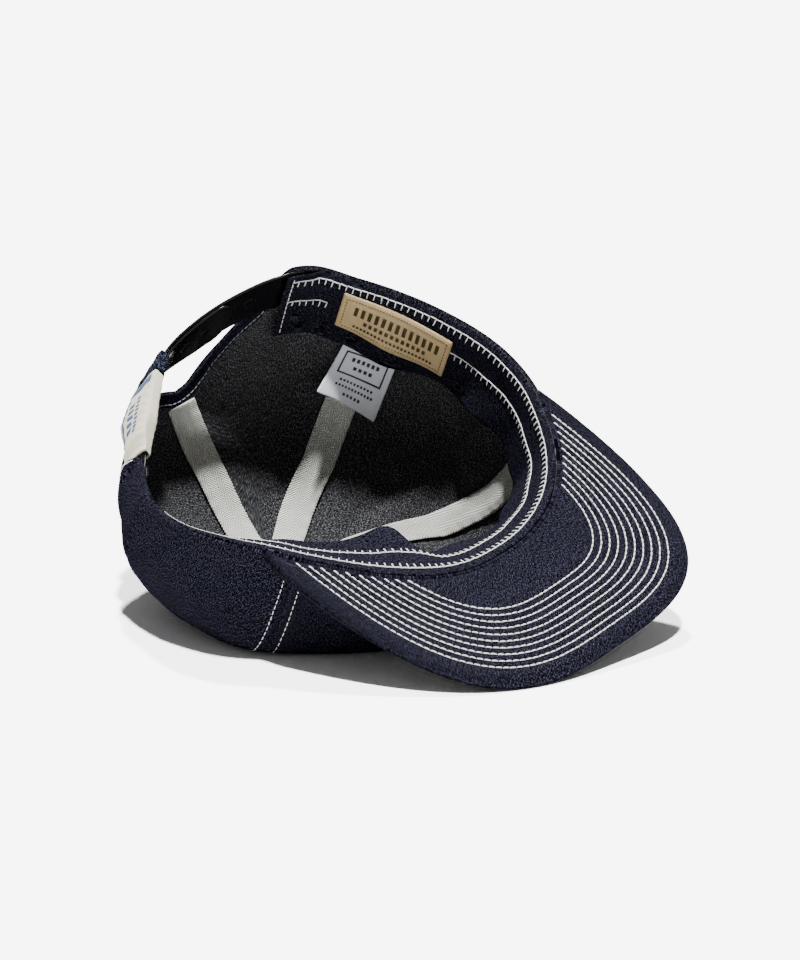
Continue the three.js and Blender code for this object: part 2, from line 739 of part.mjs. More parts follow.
// The care tag that hangs from below the sweatband, its loose corner curled away from the wall.
const TAG_CURL = 12;
const TAG_CURL_TURN = 1.2;
const TAG_CURL_RISE = 4.1;
function careTag() {
  const place = (inset) => (u, v) => {
    const curl = (u * v) ** 1.4;
    const angle = lerp(lerp(113.8, 128.9, u), lerp(114.5, 131.9, u), v) + TAG_CURL_TURN * curl;
    const depth = lerp(SWEATBAND_WIDTH + 1.2, lerp(64, 58, u), v) - TAG_CURL_RISE * curl;
    const lift = TAG_CURL * curl + 1.2 * v * v;
    return crownPoint(angle, levelAtDepth(angle, depth), SWEATBAND_INSET + lift + inset);
  };
  return slab(place(0), place(1), 8, 5);
}
addPiece("care_tag", careTag(), paperWhite());

// Rest pose, then the origin at the middle of the underside.
const pitch = radians(PITCH);
const roll = radians(ROLL);
cap.matrixAutoUpdate = true;
const basis = new THREE.Matrix4().makeBasis(
  new THREE.Vector3(Math.cos(roll), -Math.sin(pitch) * Math.sin(roll), Math.cos(pitch) * Math.sin(roll)),
  new THREE.Vector3(0, -Math.cos(pitch), -Math.sin(pitch)),
  new THREE.Vector3(Math.sin(roll), Math.sin(pitch) * Math.cos(roll), -Math.cos(pitch) * Math.cos(roll)),
);
cap.quaternion.setFromRotationMatrix(basis);
cap.updateMatrixWorld(true);
const box = new THREE.Box3().setFromObject(cap, true);
cap.position.set(-(box.min.x + box.max.x) / 2, -(box.min.y + box.max.y) / 2, -box.min.z);

const part = new THREE.Group();
part.add(cap);
export default part;
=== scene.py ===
import json
import math

import bpy
import numpy as np
from mathutils import Matrix

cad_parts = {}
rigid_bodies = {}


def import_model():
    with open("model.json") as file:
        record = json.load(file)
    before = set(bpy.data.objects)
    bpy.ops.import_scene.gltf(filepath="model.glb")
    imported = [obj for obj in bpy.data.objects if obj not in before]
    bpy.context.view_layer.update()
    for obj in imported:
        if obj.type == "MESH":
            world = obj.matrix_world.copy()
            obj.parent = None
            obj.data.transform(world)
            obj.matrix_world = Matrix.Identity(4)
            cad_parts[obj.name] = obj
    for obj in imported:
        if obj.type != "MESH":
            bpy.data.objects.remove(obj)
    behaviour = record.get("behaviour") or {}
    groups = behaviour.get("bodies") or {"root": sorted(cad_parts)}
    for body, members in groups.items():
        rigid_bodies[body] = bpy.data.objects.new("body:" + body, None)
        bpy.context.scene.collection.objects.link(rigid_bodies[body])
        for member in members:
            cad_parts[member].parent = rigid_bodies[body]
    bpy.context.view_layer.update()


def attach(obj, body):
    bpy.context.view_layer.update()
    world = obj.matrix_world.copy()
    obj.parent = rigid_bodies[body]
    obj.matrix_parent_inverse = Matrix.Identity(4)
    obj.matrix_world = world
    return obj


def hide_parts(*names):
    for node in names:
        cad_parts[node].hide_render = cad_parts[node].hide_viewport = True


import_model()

# A denim trucker cap lying upside down on its crown and on the front edge of its visor.

# Camera, at the near left and a little above the cap, as in the photo
CAMERA_AXES = (
    (0.5515274, -0.8341568, 0.0002863),
    (0.1949366, 0.1292218, 0.9722661),
    (-0.8110594, -0.5361756, 0.2338771),
)
CAMERA_PLACE = (-1.175006, -0.785269, 0.395867)
CAMERA_LENS = 134.3
SENSOR_WIDTH = 36
CAMERA_REACH = 50


def add_object(name, data):
    obj = bpy.data.objects.new(name, data)
    bpy.context.scene.collection.objects.link(obj)
    return obj


def placed(axes, place):
    """A matrix from three axes and a point."""
    matrix = Matrix.Identity(4)
    for column, axis in enumerate(axes):
        for row in range(3):
            matrix[row][column] = float(axis[row])
    for row in range(3):
        matrix[row][3] = place[row]
    return matrix


camera_data = bpy.data.cameras.new("view")
camera_data.lens = CAMERA_LENS
camera_data.sensor_width = SENSOR_WIDTH
camera_data.clip_end = CAMERA_REACH
camera = add_object("view", camera_data)
camera.matrix_world = placed(CAMERA_AXES, CAMERA_PLACE)
bpy.context.scene.camera = camera

# Sizes, in millimetres and degrees, in the cap's own frame until they are placed: x to the wearer's
# right, y to the front, d up as worn, which runs down into the lying crown
CLOTH = 1.5
GAP = 0.35
EDGE_ROUNDING = 0.35
CROWN_DEPTH = 116.0
CENTRE_Y = -21.0
BUTTON = (4.0, -26.0)
BUTTON_RADIUS = 8.5
BUTTON_LIFT = 4.55
HOLE_RADIUS = 5.9
VISOR_HALF_WIDTH = 88.0
VISOR_REACH = 123.6
VISOR_POWER = 3.3
VISOR_THICKNESS = 4.0
VISOR_END = 71.5
VISOR_CORNER = 87
VISOR_EDGE = 0.2
VISOR_CLEAR = 0.06
VISOR_JOINT = 0.15
VISOR_ROWS = 10
ROW_INSET = 8.0
ROW_PITCH = 3.1
BAND_WIDTH = 32.0
BAND_INSET = 3.4
BAND_TOP = 0.6
BAND_THICKNESS = 1.2
BAND_FROM, BAND_TO = 150.0, 220.5 - 360.0
TAPE_WIDTH = 14.0
TAPE_INSET = 2.2
TAPE_THICKNESS = 0.8
TAPE_TOP = 7.0
STRAP_WIDTH = 18.0
STRAP_TOP = 0.6
STRAP_THICKNESS = 1.2
OUTER_INSET = CLOTH + GAP
INNER_INSET = OUTER_INSET + 1.8
HOLE_FROM = 166.0
HOLE_COUNT = 7
HOLE_PITCH = 9.5
STUD_RADIUS = 2.3
STUD_SIDES = 24
TAG_TOP = 33.2
TAG_FOOT = 64
TAG_INSET = 3.3
TAG_CURL = 12.0
TAG_CURL_TURN = 1.2
TAG_CURL_RISE = 4.1
THREAD_SIDES = 6
SEAM_OFFSET = 3.4
SEAM_TOP = 0.93
SETTLE_SOFT = 12.0
PITCH = math.radians(28.2)
ROLL = math.radians(13.95)
ORIGIN = np.array([-7.561885, -9.408904, 68.069289])

# The crown's lower edge: angle, reach from the centre, sink from the visor's plane
EDGE = [
    (0, 86, 0), (30, 86.5, 0), (60, 89, 0), (75, 93, 0), (90, 95.5, 0), (110, 94.5, -1), (130, 94, -3),
    (142, 97, -4), (152, 95, -2), (163, 96.5, 7.6), (174, 97, 17), (184, 96, 25.5), (193, 89.5, 31),
    (202, 84, 34.5), (213, 80, 37), (222, 79, 37), (235, 80.5, 33), (250, 85.5, 24), (265, 92, 13),
    (278, 93.5, 4), (290, 90, 0), (305, 86, 0), (320, 86, 0), (340, 87.3, 0),
]
# The wall's section: angle, power, flare
WALL = [
    (0, 3.2, 0.03), (60, 2.9, 0.04), (120, 2.3, 0.05), (180, 2.0, 0.06), (215, 1.61, 0.235),
    (245, 1.62, 0.163), (275, 1.9, 0.015), (300, 2.54, 0.11),
]
# Seams: level up the wall, angle
SEAMS = {
    "front_right": [(0, 62), (0.25, 70), (0.5, 81), (0.7, 96), (1, 108)],
    "side_right": [(0, 119), (0.3, 125), (0.5, 127), (0.75, 134), (1, 143)],
    "back": [(0, 180), (0.27, 174.5), (0.5, 168.5), (0.75, 162), (1, 180)],
    "side_left": [(0, 242), (0.5, 240), (1, 232)],
    "front_left": [(0, 297), (0.3, 297), (1, 290)],
}
# The half-moon's edge: angle, level
MOON = [
    (150.5, 0), (154, 0.068), (158, 0.103), (163.5, 0.154), (167.5, 0.192), (169, 0.22), (172, 0.24),
    (175.5, 0.247), (180, 0.212), (190, 0.2), (200, 0.2), (208, 0.19), (214, 0.15), (217.5, 0.07), (219.5, 0),
]
# The sweatband's lean from the wall: angle, degrees
LEAN = [
    (0, 47), (20, 36), (40, 18), (55, 6), (75, 0), (130, 0), (152, 0), (190, 0), (218, 2), (240, 14),
    (262, 42), (285, 58), (305, 62), (322, 74), (330, 80), (338, 66), (350, 52),
]
# The strap's outward lean: angle, degrees
STRAP_LEAN = [
    (140, 0), (172, 0), (179, 6), (186, 14), (192, 21), (200, 27), (208, 27), (216, 16), (226, 12),
]
# Folds in the sweatband's free edge: angle, reach, spread
BAND_FOLDS = [(88, 3.0, 6), (64, 2.6, 6), (42, 1.8, 6), (117, 6.0, 9), (142, 0.8, 4)]
# The crown's creases, soft pulls on the far wall and a pressed dent at the near back:
# height, angle, slant, the slant's level, spread, middle level, rise
CREASES = [
    (1.5, 101, 26, 0.45, 3.4, 0.5, 0.2), (-1.2, 92, 22, 0.45, 3.0, 0.42, 0.16),
    (1.0, 82, 16, 0.4, 3.0, 0.36, 0.15), (-0.9, 145, 8, 0.4, 3.4, 0.4, 0.22),
    (-1.8, 226, 30, 0.2, 4.0, 0.25, 0.14), (1.2, 236, 30, 0.2, 4.5, 0.28, 0.16),
    (-1.0, 262, 40, 0.5, 4.5, 0.55, 0.2),
]
# Slow, shallow unevenness of worn cloth: height, turn along x, y and d, phase
RIPPLES = [
    (0.38, 0.11, 0.07, 0.09, 1.0), (0.3, -0.08, 0.16, 0.13, 2.2), (0.2, 0.21, 0.18, -0.17, 0.4),
    (0.1, 0.41, -0.36, 0.33, 3.1),
]
# Seam stitches: the level where each seam's two lines start
SEAM_STARTS = {"front_right": 0.16, "side_right": 0.012, "back": 0.275, "front_left": 0.03}
# A thread's section: place along it, size, height
RINGS = (
    (0.0, 0.35, -0.55), (0.1, 0.85, 0.15), (0.3, 1.0, 0.55), (0.7, 1.0, 0.55), (0.9, 0.85, 0.15),
    (1.0, 0.35, -0.55),
)
# A stud's section: part of its radius, part of its height below the top
STUD_RINGS = ((0.55, 0.0), (0.9, 0.05), (1.0, 0.35), (1.0, 1.0))

TURN = np.array([
    [math.cos(ROLL), 0, math.sin(ROLL)],
    [-math.sin(PITCH) * math.sin(ROLL), -math.cos(PITCH), math.sin(PITCH) * math.cos(ROLL)],
    [math.cos(PITCH) * math.sin(ROLL), -math.sin(PITCH), -math.cos(PITCH) * math.cos(ROLL)],
])
UP = TURN[2]


def to_world(p):
    """Cap-frame millimetres to row-frame metres."""
    return (np.asarray(p) @ TURN.T + ORIGIN) * 0.001


# Curves and faces of the cap


def unit(v):
    return v / np.maximum(np.linalg.norm(v, axis=-1, keepdims=True), 1e-9)


def smooth(x, a, b):
    t = np.clip((np.asarray(x, float) - a) / (b - a), 0, 1)
    return t * t * (3 - 2 * t)


def bump(x, centre, width):
    return np.exp(-(((np.asarray(x, float) - centre) / width) ** 2))


def ring_curve(rows, column):
    """A smooth closed curve through a table's rows, by angle."""
    angles = np.array([r[0] for r in rows], float)
    values = np.array([r[column] for r in rows], float)
    span = (np.roll(angles, -1) - angles) % 360
    slope = (np.roll(values, -1) - np.roll(values, 1)) / (span + np.roll(span, 1))

    def at(angle):
        a = np.asarray(angle, float) % 360
        i = np.searchsorted(angles, a, side="right") - 1
        j = (i + 1) % len(angles)
        t = (a - angles[i]) / span[i]
        s = 1 - t
        return (
            values[i] * (1 + 2 * t) * s * s
            + values[j] * t * t * (3 - 2 * t)
            + span[i] * (slope[i] * t * s * s - slope[j] * t * t * s)
        )

    return at


def line_curve(rows):
    """Straight runs through a table's rows."""
    xs = [r[0] for r in rows]
    ys = [r[1] for r in rows]
    return lambda x: np.interp(x, xs, ys)


def lengths(points):
    """The length run at each point of a path."""
    return np.concatenate([[0], np.cumsum(np.linalg.norm(np.diff(points, axis=0), axis=-1))])


def around(angle, reach=1.0):
    """The way out at an angle, in the visor's plane: its parts along x and y."""
    return reach * np.sin(np.radians(angle)), reach * np.cos(np.radians(angle))


edge_reach = ring_curve(EDGE, 1)
edge_sink = ring_curve(EDGE, 2)
wall_power = ring_curve(WALL, 1)
wall_flare = ring_curve(WALL, 2)
band_rows = ring_curve(LEAN, 1)
strap_lean = line_curve(STRAP_LEAN)
moon_rows = line_curve(MOON)
seam_angle = {name: line_curve(rows) for name, rows in SEAMS.items()}


def band_lean(angle):
    """The sweatband's lean, eased between its rows."""
    parts = [band_rows(np.asarray(angle, float) + shift) for shift in (-6, -4, -2, 0, 2, 4, 6)]
    return sum(parts) / len(parts)


def moon_level(angle):
    """The half-moon's edge, eased between its rows."""
    parts = [moon_rows(np.asarray(angle, float) + shift) for shift in np.linspace(-2.6, 2.6, 9)]
    return sum(parts) / len(parts)


def outline(across_angle, inset):
    """The visor's outline in its own plane."""
    s, c = around(across_angle)
    x = (VISOR_HALF_WIDTH - inset) * np.sign(s) * np.abs(s) ** (2 / VISOR_POWER)
    y = (VISOR_REACH - inset) * np.abs(c) ** (2 / VISOR_POWER)
    return x, y


def visor_point(across, out):
    """The visor's plane, from the crown's edge (out 0) to its outline (out 1)."""
    angle = across * VISOR_END
    ix, iy = around(angle, edge_reach(angle) + VISOR_CLEAR)
    iy = iy + CENTRE_Y
    ox, oy = outline(across * VISOR_CORNER, VISOR_EDGE)
    return ix + (ox - ix) * out, iy + (oy - iy) * out


FLOOR = -float(to_world(np.zeros(3))[2] * 1000)
CROWN_TOP = np.array([BUTTON[0], BUTTON[1], CROWN_DEPTH])
BUTTON_AT = CROWN_TOP + UP * (FLOOR - CROWN_TOP @ UP)


def settle(p, level):
    """Cloth that would reach below the floor lies on it, and the wall above it bellies out."""
    height = p @ UP - FLOOR
    flat = p - height[..., None] * UP
    near = np.linalg.norm(flat - BUTTON_AT, axis=-1)
    keep = BUTTON_LIFT * (1 - smooth(near, BUTTON_RADIUS + 4, BUTTON_RADIUS + 22))
    x = height - keep
    eased = keep + (x + SETTLE_SOFT) ** 2 / (4 * SETTLE_SOFT)
    settled = np.where(x <= -SETTLE_SOFT, keep, np.where(x < SETTLE_SOFT, eased, height))
    out = p - np.array([0, -20, 60.0])
    out = out - (out @ UP)[..., None] * UP
    distance = np.maximum(np.linalg.norm(out, axis=-1), 1e-6)
    to_front = np.clip((0.475 * out[..., 1] - 0.15 * out[..., 0]) / distance + 0.6, 0, 1)
    swell = 7 * np.exp(-((settled / 35) ** 2)) * np.clip(distance / 70, 0, 1) ** 2
    swell = swell * to_front * smooth(level, 0.02, 0.25)
    return flat + settled[..., None] * UP + out * (swell / distance)[..., None]


def crown_face(angle, level):
    """The crown's outer face, plain: level runs from 0 at the edge to 1 at the button."""
    angle, level = np.broadcast_arrays(np.asarray(angle, float), np.asarray(level, float))
    level = np.clip(level, 0, 1)
    a = level * math.pi / 2
    power = wall_power(angle)
    spread = np.cos(a) ** (2 / power) + wall_flare(angle) * np.sin(math.pi * level) * np.cos(a)
    rise = np.sin(a) ** (2 / power)
    sink = edge_sink(angle)
    part = np.minimum(spread, 1)
    x, y = around(angle, spread * edge_reach(angle))
    x = x + BUTTON[0] * (1 - part)
    y = y + BUTTON[1] + (CENTRE_Y - BUTTON[1]) * part
    return settle(np.stack([x, y, sink + (CROWN_DEPTH - sink) * rise], -1), level)


def crown_normal(angle, level):
    along = crown_face(np.asarray(angle) + 1.5, level) - crown_face(np.asarray(angle) - 1.5, level)
    higher = crown_face(angle, np.clip(np.asarray(level) + 0.012, 0, 1))
    lower = crown_face(angle, np.clip(np.asarray(level) - 0.012, 0, 1))
    return -unit(np.cross(along, higher - lower))


def per_degree(angle, level, half=0.5):
    """Millimetres along the crown for a degree of angle."""
    run = crown_face(angle + half, level) - crown_face(angle - half, level)
    return np.linalg.norm(run, axis=-1) / (2 * half)


def ripple(p):
    x, y, z = p[..., 0], p[..., 1], p[..., 2]
    return sum(height * np.sin(a * x + b * y + c * z + phase) for height, a, b, c, phase in RIPPLES)


def creases(angle, level):
    angle = np.asarray(angle, float)
    return sum(
        height * bump(angle, at + slant * (level - pivot), spread) * bump(level, middle, rise)
        for height, at, slant, pivot, spread, middle, rise in CREASES
    )


def crown_point(angle, level, inset):
    """The crown's worn face, moved in by a depth."""
    face = crown_face(angle, level)
    normal = crown_normal(angle, level)
    calm = smooth(level, 0.0, 0.12) * (1 - smooth(level, 0.78, 0.9))
    wave = (0.8 * ripple(face) + creases(angle, level)) * calm
    wave = wave * smooth(face @ UP - FLOOR, 1.0, 8.0)
    return face + normal * (np.minimum(wave, 1.4) - inset)[..., None]


def level_at_depth(angle, depth):
    """The level that lies a depth below the visor's plane."""
    rise = np.clip(depth / (CROWN_DEPTH - edge_sink(angle)), 0, 1)
    return np.arcsin(rise ** (wall_power(angle) / 2)) * 2 / math.pi


def closing_level(angle, radius):
    """The level where the crown closes to a radius round the button."""
    spread = radius / edge_reach(angle)
    return np.arccos(spread ** (wall_power(angle) / 2)) * 2 / math.pi


def moon_start(angle):
    """The half-moon's edge, kept clear of the strap between its tabs."""
    clear = level_at_depth(angle, STRAP_TOP + STRAP_WIDTH + 2.6)
    between = smooth(angle, 172, 181) * (1 - smooth(angle, 213, 217))
    return np.maximum(moon_level(angle), clear * between)


def band_point(angle, width, inset):
    """The sweatband: width is measured down from the crown's edge."""
    angle, width = np.broadcast_arrays(np.asarray(angle, float), np.asarray(width, float))
    lean = np.radians(band_lean(angle))
    down = BAND_TOP + width * np.cos(lean)
    sewn = smooth(np.cos(np.radians(angle - 184)), 0.7, 0.76)
    rise = np.maximum(smooth(width, 0, 3.4), sewn)
    seat = CLOTH + GAP + (BAND_INSET + 1.3 * sewn - CLOTH - GAP) * rise
    level = level_at_depth(angle, down)
    p = crown_face(angle, level) - crown_normal(angle, level) * (seat + inset)[..., None]
    part = width / BAND_WIDTH
    wave = 1.4 * np.sin(np.radians(angle * 9 + 40)) * part**2
    quiet = smooth(np.cos(np.radians(angle - 40)), -0.1, 0.6)
    fold = sum(reach * bump(angle, at, spread) for at, reach, spread in BAND_FOLDS)
    inward = width * np.sin(lean) + (1.4 + wave) * quiet * part + fold * part**1.6
    return p - np.stack([*around(angle, inward), 0 * angle], -1)


def band_normal(angle, width):
    """Out of the sweatband's seen face, into the hollow."""
    along = band_point(angle + 1, width, 0) - band_point(angle - 1, width, 0)
    across = band_point(angle, width + 0.5, 0) - band_point(angle, np.maximum(width - 0.5, 0), 0)
    return unit(np.cross(along, across))


def strap_point(angle, width, inset):
    """The strap: width from its upper edge down, inset from its outer side in."""
    angle, width, inset = np.broadcast_arrays(*(np.asarray(v, float) for v in (angle, width, inset)))
    lean = np.radians(strap_lean(angle))
    down = STRAP_TOP + width
    x, y = around(angle, edge_reach(angle) + np.sin(lean) * down - np.cos(lean) * inset)
    p = np.stack([x, y + CENTRE_Y, edge_sink(angle) + np.cos(lean) * down + np.sin(lean) * inset], -1)
    sewn = np.maximum(1 - smooth(angle, 151, 164), smooth(angle, 200, 208))
    level = level_at_depth(angle, np.maximum(down, 0))
    wall = crown_face(angle, level) - crown_normal(angle, level) * inset[..., None]
    return p + (wall - p) * sewn[..., None]


# Meshes


def make_object(name, points, faces, mats, face_mats=None, uv=None):
    """A smooth mesh from points in the cap's frame, with lengths along the cloth as its UVs."""
    mesh = bpy.data.meshes.new(name)
    mesh.from_pydata([tuple(v) for v in to_world(points)], [], faces)
    for m in mats:
        mesh.materials.append(m)
    if face_mats is not None:
        mesh.polygons.foreach_set("material_index", np.asarray(face_mats, np.int32))
    if uv is not None:
        layer = mesh.uv_layers.new(name="cloth")
        loops = np.zeros(len(mesh.loops), np.int32)
        mesh.loops.foreach_get("vertex_index", loops)
        layer.data.foreach_set("uv", np.asarray(uv, np.float32)[loops].ravel())
    mesh.polygons.foreach_set("use_smooth", np.ones(len(mesh.polygons), bool))
    mesh.update()
    return add_object(name, mesh)


def finish_piece(obj, nodes=()):
    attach(obj, "root")
    if nodes:
        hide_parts(*nodes)
    return obj


def cloth_uv(p):
    """Lengths along the cloth, in millimetres."""
    du = np.linalg.norm(np.diff(p, axis=0), axis=-1)
    dv = np.linalg.norm(np.diff(p, axis=1), axis=-1)
    mid = du.shape[1] // 2
    u = np.concatenate([[0], np.cumsum(du[:, mid])])
    v = np.concatenate([np.zeros((p.shape[0], 1)), np.cumsum(dv, axis=1)], axis=1)
    ratio = du / np.maximum(du[:, mid : mid + 1], 1e-6)
    scale = np.concatenate([ratio[:1], ratio])
    centre = u[-1] / 2
    return np.stack([centre + (u[:, None] - centre) * scale, v], -1)


def border(grid):
    """A grid's outer points in order, and the point behind each."""
    ring = np.concatenate([grid[:, 0], grid[-1, 1:], grid[-2::-1, -1], grid[0, -2:0:-1]])
    behind = np.concatenate([grid[:, 1], grid[-2, 1:], grid[-2::-1, -2], grid[1, -2:0:-1]])
    return ring, behind


def cells(grid):
    """The four corners of a grid's cells."""
    return np.stack([grid[:-1, :-1], grid[1:, :-1], grid[1:, 1:], grid[:-1, 1:]], -1).reshape(-1, 4)


def faces_out(quad, points, inner, outer):
    """Whether a face looks the way from an inner to an outer point."""
    normal = np.cross(points[quad[2]] - points[quad[0]], points[quad[3]] - points[quad[1]])
    return normal @ (points[outer] - points[inner]) > 0


def shell(name, face, back, mats, rounding=EDGE_ROUNDING, stands_for=None):
    """A closed sheet between two grids of points, with rounded edges, for the solid of its name."""
    nu, nv = face.shape[:2]
    off = nu * nv
    grid = np.arange(off).reshape(nu, nv)
    ring, behind = border(grid)
    flat, other = face.reshape(-1, 3), back.reshape(-1, 3)
    thick = np.linalg.norm(flat[ring] - other[ring], axis=1)[:, None]
    push = unit(flat[ring] - flat[behind]) * rounding * thick
    points = np.concatenate([flat, other, (flat[ring] + other[ring]) / 2 + push])
    uv = cloth_uv(face).reshape(-1, 2)
    uv = np.concatenate([uv, uv, uv[ring]])
    first = cells(grid)
    here = np.arange(len(ring))
    there = (here + 1) % len(ring)
    quads = [
        first,
        first[:, [0, 3, 2, 1]] + off,
        np.stack([ring, 2 * off + here, 2 * off + there, ring[there]], 1),
        np.stack([2 * off + here, ring + off, ring[there] + off, 2 * off + there], 1),
    ]
    through = points[first[:, 0]] - points[quads[1][:, 0]]
    normal = np.cross(points[first[:, 2]] - points[first[:, 0]], points[first[:, 3]] - points[first[:, 1]])
    if (normal * through).sum() < 0:
        quads = [x[:, ::-1] for x in quads]
    kinds = np.concatenate([np.full(len(x), int(i == 1)) for i, x in enumerate(quads)])
    obj = make_object(name, points, np.concatenate(quads).tolist(), mats, kinds, uv)
    return finish_piece(obj, [name] if stands_for is None else stands_for)


def threads(name, rows, radius, mat, lift=0.0):
    """Short arched lengths of thread; each row holds their starts, ends and normals."""
    start, end, normal = (np.concatenate([row[i] for row in rows]) for i in range(3))
    radius = np.broadcast_to(np.asarray(radius, float), (len(start),))[:, None]
    along = end - start
    side = unit(np.cross(unit(along), normal))
    over = unit(np.cross(side, unit(along)))
    turn = (np.arange(THREAD_SIDES) * 2 * math.pi / THREAD_SIDES)[None, :, None]
    circle = np.cos(turn) * side[:, None] + np.sin(turn) * over[:, None]
    rings = []
    for place, size, height in RINGS:
        centre = start + along * place + over * (height * radius + lift)
        rings.append(centre[:, None] + circle * (radius[:, None] * size))
    points = np.stack(rings, 1)
    count = len(start)
    index = np.arange(count * len(RINGS) * THREAD_SIDES).reshape(count, len(RINGS), THREAD_SIDES)
    a, b = index[:, :-1], index[:, 1:]
    quads = np.stack([a, np.roll(a, -1, 2), np.roll(b, -1, 2), b], -1).reshape(-1, 4)
    caps = [list(map(int, row)) for row in np.concatenate([index[:, 0, ::-1], index[:, -1]])]
    return finish_piece(make_object(name, points.reshape(-1, 3), quads.tolist() + caps, [mat]))


def along_path(points, normals, pitch, fill, seed, jitter=0.12):
    """Stitches laid end to end along a path: their starts, ends and normals."""
    run = lengths(points)
    count = max(int(run[-1] / pitch), 1)
    pitch = run[-1] / count
    at = np.arange(count) * pitch

    def sample(s, v):
        return np.stack([np.interp(s, run, v[:, k]) for k in range(3)], 1)

    rng = np.random.default_rng(seed)
    shake = rng.normal(0, jitter * 0.5, (2, count, 1))
    n = unit(sample(at + pitch / 2, normals))
    a, b = sample(at, points), sample(at + pitch * fill, points)
    side = unit(np.cross(b - a, n))
    return a + side * shake[0], b + side * shake[1], n


# Materials


COLOR, VALUE, VECTOR = "NodeSocketColor", "NodeSocketFloat", "NodeSocketVector"


def new_group(name, inputs):
    """A weave's group: its own inputs and a place in, a colour and a height out."""
    group = bpy.data.node_groups.new(name, "ShaderNodeTree")
    outputs = {"Color": COLOR, "Height": VALUE}
    for way, sockets in (("INPUT", {**inputs, "Place": VECTOR}), ("OUTPUT", outputs)):
        for label, kind in sockets.items():
            group.interface.new_socket(name=label, in_out=way, socket_type=kind)
    given = group.nodes.new("NodeGroupInput").outputs
    return group, given, given["Place"], group.nodes.new("NodeGroupOutput")


def close_group(group, out, color, height):
    group.links.new(color, out.inputs["Color"])
    group.links.new(height, out.inputs["Height"])
    return group


def set_inputs(node, values):
    for label, value in values.items():
        node.inputs[label].default_value = value


def feed(tree, socket, value):
    """Link a node's output to a socket, or set the socket to a plain value."""
    if isinstance(value, (int, float, tuple)):
        socket.default_value = value
    else:
        tree.links.new(value, socket)


def math_node(tree, operation, a, b=None, clamp=False):
    node = tree.nodes.new("ShaderNodeMath")
    node.operation = operation
    node.use_clamp = clamp
    feed(tree, node.inputs[0], a)
    if b is not None:
        feed(tree, node.inputs[1], b)
    return node.outputs[0]


def times(tree, a, b, clamp=False):
    return math_node(tree, "MULTIPLY", a, b, clamp)


def plus(tree, a, b):
    return math_node(tree, "ADD", a, b)


def noise_node(tree, vector, scale, detail, rough=0.6):
    node = tree.nodes.new("ShaderNodeTexNoise")
    set_inputs(node, {"Scale": scale, "Detail": detail, "Roughness": rough})
    tree.links.new(vector, node.inputs["Vector"])
    return node.outputs["Fac"]


def mix_node(tree, fac, a, b):
    node = tree.nodes.new("ShaderNodeMix")
    node.data_type = "RGBA"
    for socket, value in ((node.inputs["Factor"], fac), (node.inputs[6], a), (node.inputs[7], b)):
        feed(tree, socket, value)
    return node.outputs[2]


def mapped(tree, vector, angle=0.0, stretch=(1, 1, 1)):
    mapping = tree.nodes.new("ShaderNodeMapping")
    set_inputs(mapping, {"Rotation": (0, 0, angle), "Scale": stretch})
    tree.links.new(vector, mapping.inputs[0])
    return mapping.outputs[0]


def twill_group():
    """Salt-and-pepper denim: pale specks of weft between the dark warp, in faint diagonal ribs."""
    group, given, plain, out = new_group("twill", {"Dark": COLOR, "Light": COLOR, "Specks": VALUE})
    slanted = mapped(group, plain, 0.9, (1.3, 0.55, 1))
    slub = noise_node(group, slanted, 1.5, 2.5, 0.7)
    fine = noise_node(group, plain, 2.1, 1.5, 0.7)
    cloud = noise_node(group, plain, 0.09, 3.0, 0.6)
    mixed = plus(group, times(group, slub, 0.55), times(group, fine, 0.45))
    speck = times(group, math_node(group, "SUBTRACT", mixed, 0.5), 13.0, clamp=True)
    ribs = group.nodes.new("ShaderNodeTexWave")
    ribs.bands_direction = "DIAGONAL"
    set_inputs(ribs, {"Scale": 0.52, "Distortion": 1.2, "Detail": 1.0})
    group.links.new(plain, ribs.inputs["Vector"])
    rib = ribs.outputs["Fac"]
    shown = times(group, speck, plus(group, times(group, rib, 0.55), 0.45))
    shown = times(group, shown, given["Specks"])
    shown = times(group, shown, plus(group, times(group, cloud, 0.8), 0.6), clamp=True)
    color = mix_node(group, shown, given["Dark"], given["Light"])
    return close_group(group, out, color, plus(group, times(group, rib, 0.5), times(group, slub, 0.7)))


def herringbone_group():
    """Off-white tape woven in chevrons, a little soiled."""
    group, given, place, out = new_group("herringbone", {"Thread": COLOR})
    parts = group.nodes.new("ShaderNodeSeparateXYZ")
    group.links.new(place, parts.inputs[0])
    zig = math_node(group, "PINGPONG", parts.outputs[0], 3.4)
    slant = plus(group, times(group, zig, 1.3), parts.outputs[1])
    line = math_node(group, "SINE", times(group, slant, 4.6))
    line = plus(group, times(group, line, 0.5), 0.5)
    grain = noise_node(group, place, 1.8, 3.0, 0.7)
    soil = noise_node(group, place, 0.12, 3.0, 0.6)
    shade = plus(group, times(group, line, 0.3), times(group, grain, 0.28))
    shade = plus(group, shade, times(group, soil, 0.34))
    shade = math_node(group, "SUBTRACT", 0.78, shade, clamp=True)
    worn = mix_node(group, 0.62, given["Thread"], (0.03, 0.027, 0.015, 1))
    return close_group(group, out, mix_node(group, shade, given["Thread"], worn), plus(group, line, grain))


def thread_group():
    """Cotton thread, twisted and slightly uneven in tone."""
    group, given, place, out = new_group("thread", {"Tone": COLOR})
    fuzz = noise_node(group, place, 2.6, 2.0)
    tone = noise_node(group, place, 0.16, 2.0)
    fac = math_node(group, "SUBTRACT", plus(group, fuzz, times(group, tone, 0.7)), 0.62, True)
    worn = mix_node(group, 0.45, given["Tone"], (0.0, 0.0, 0.0, 1))
    return close_group(group, out, mix_node(group, fac, given["Tone"], worn), fuzz)


def new_material(name, rough, specular):
    mat = bpy.data.materials.new(name)
    mat.use_nodes = True
    shader = mat.node_tree.nodes["Principled BSDF"]
    set_inputs(shader, {"Roughness": rough, "Specular IOR Level": specular})
    return mat, mat.node_tree, shader


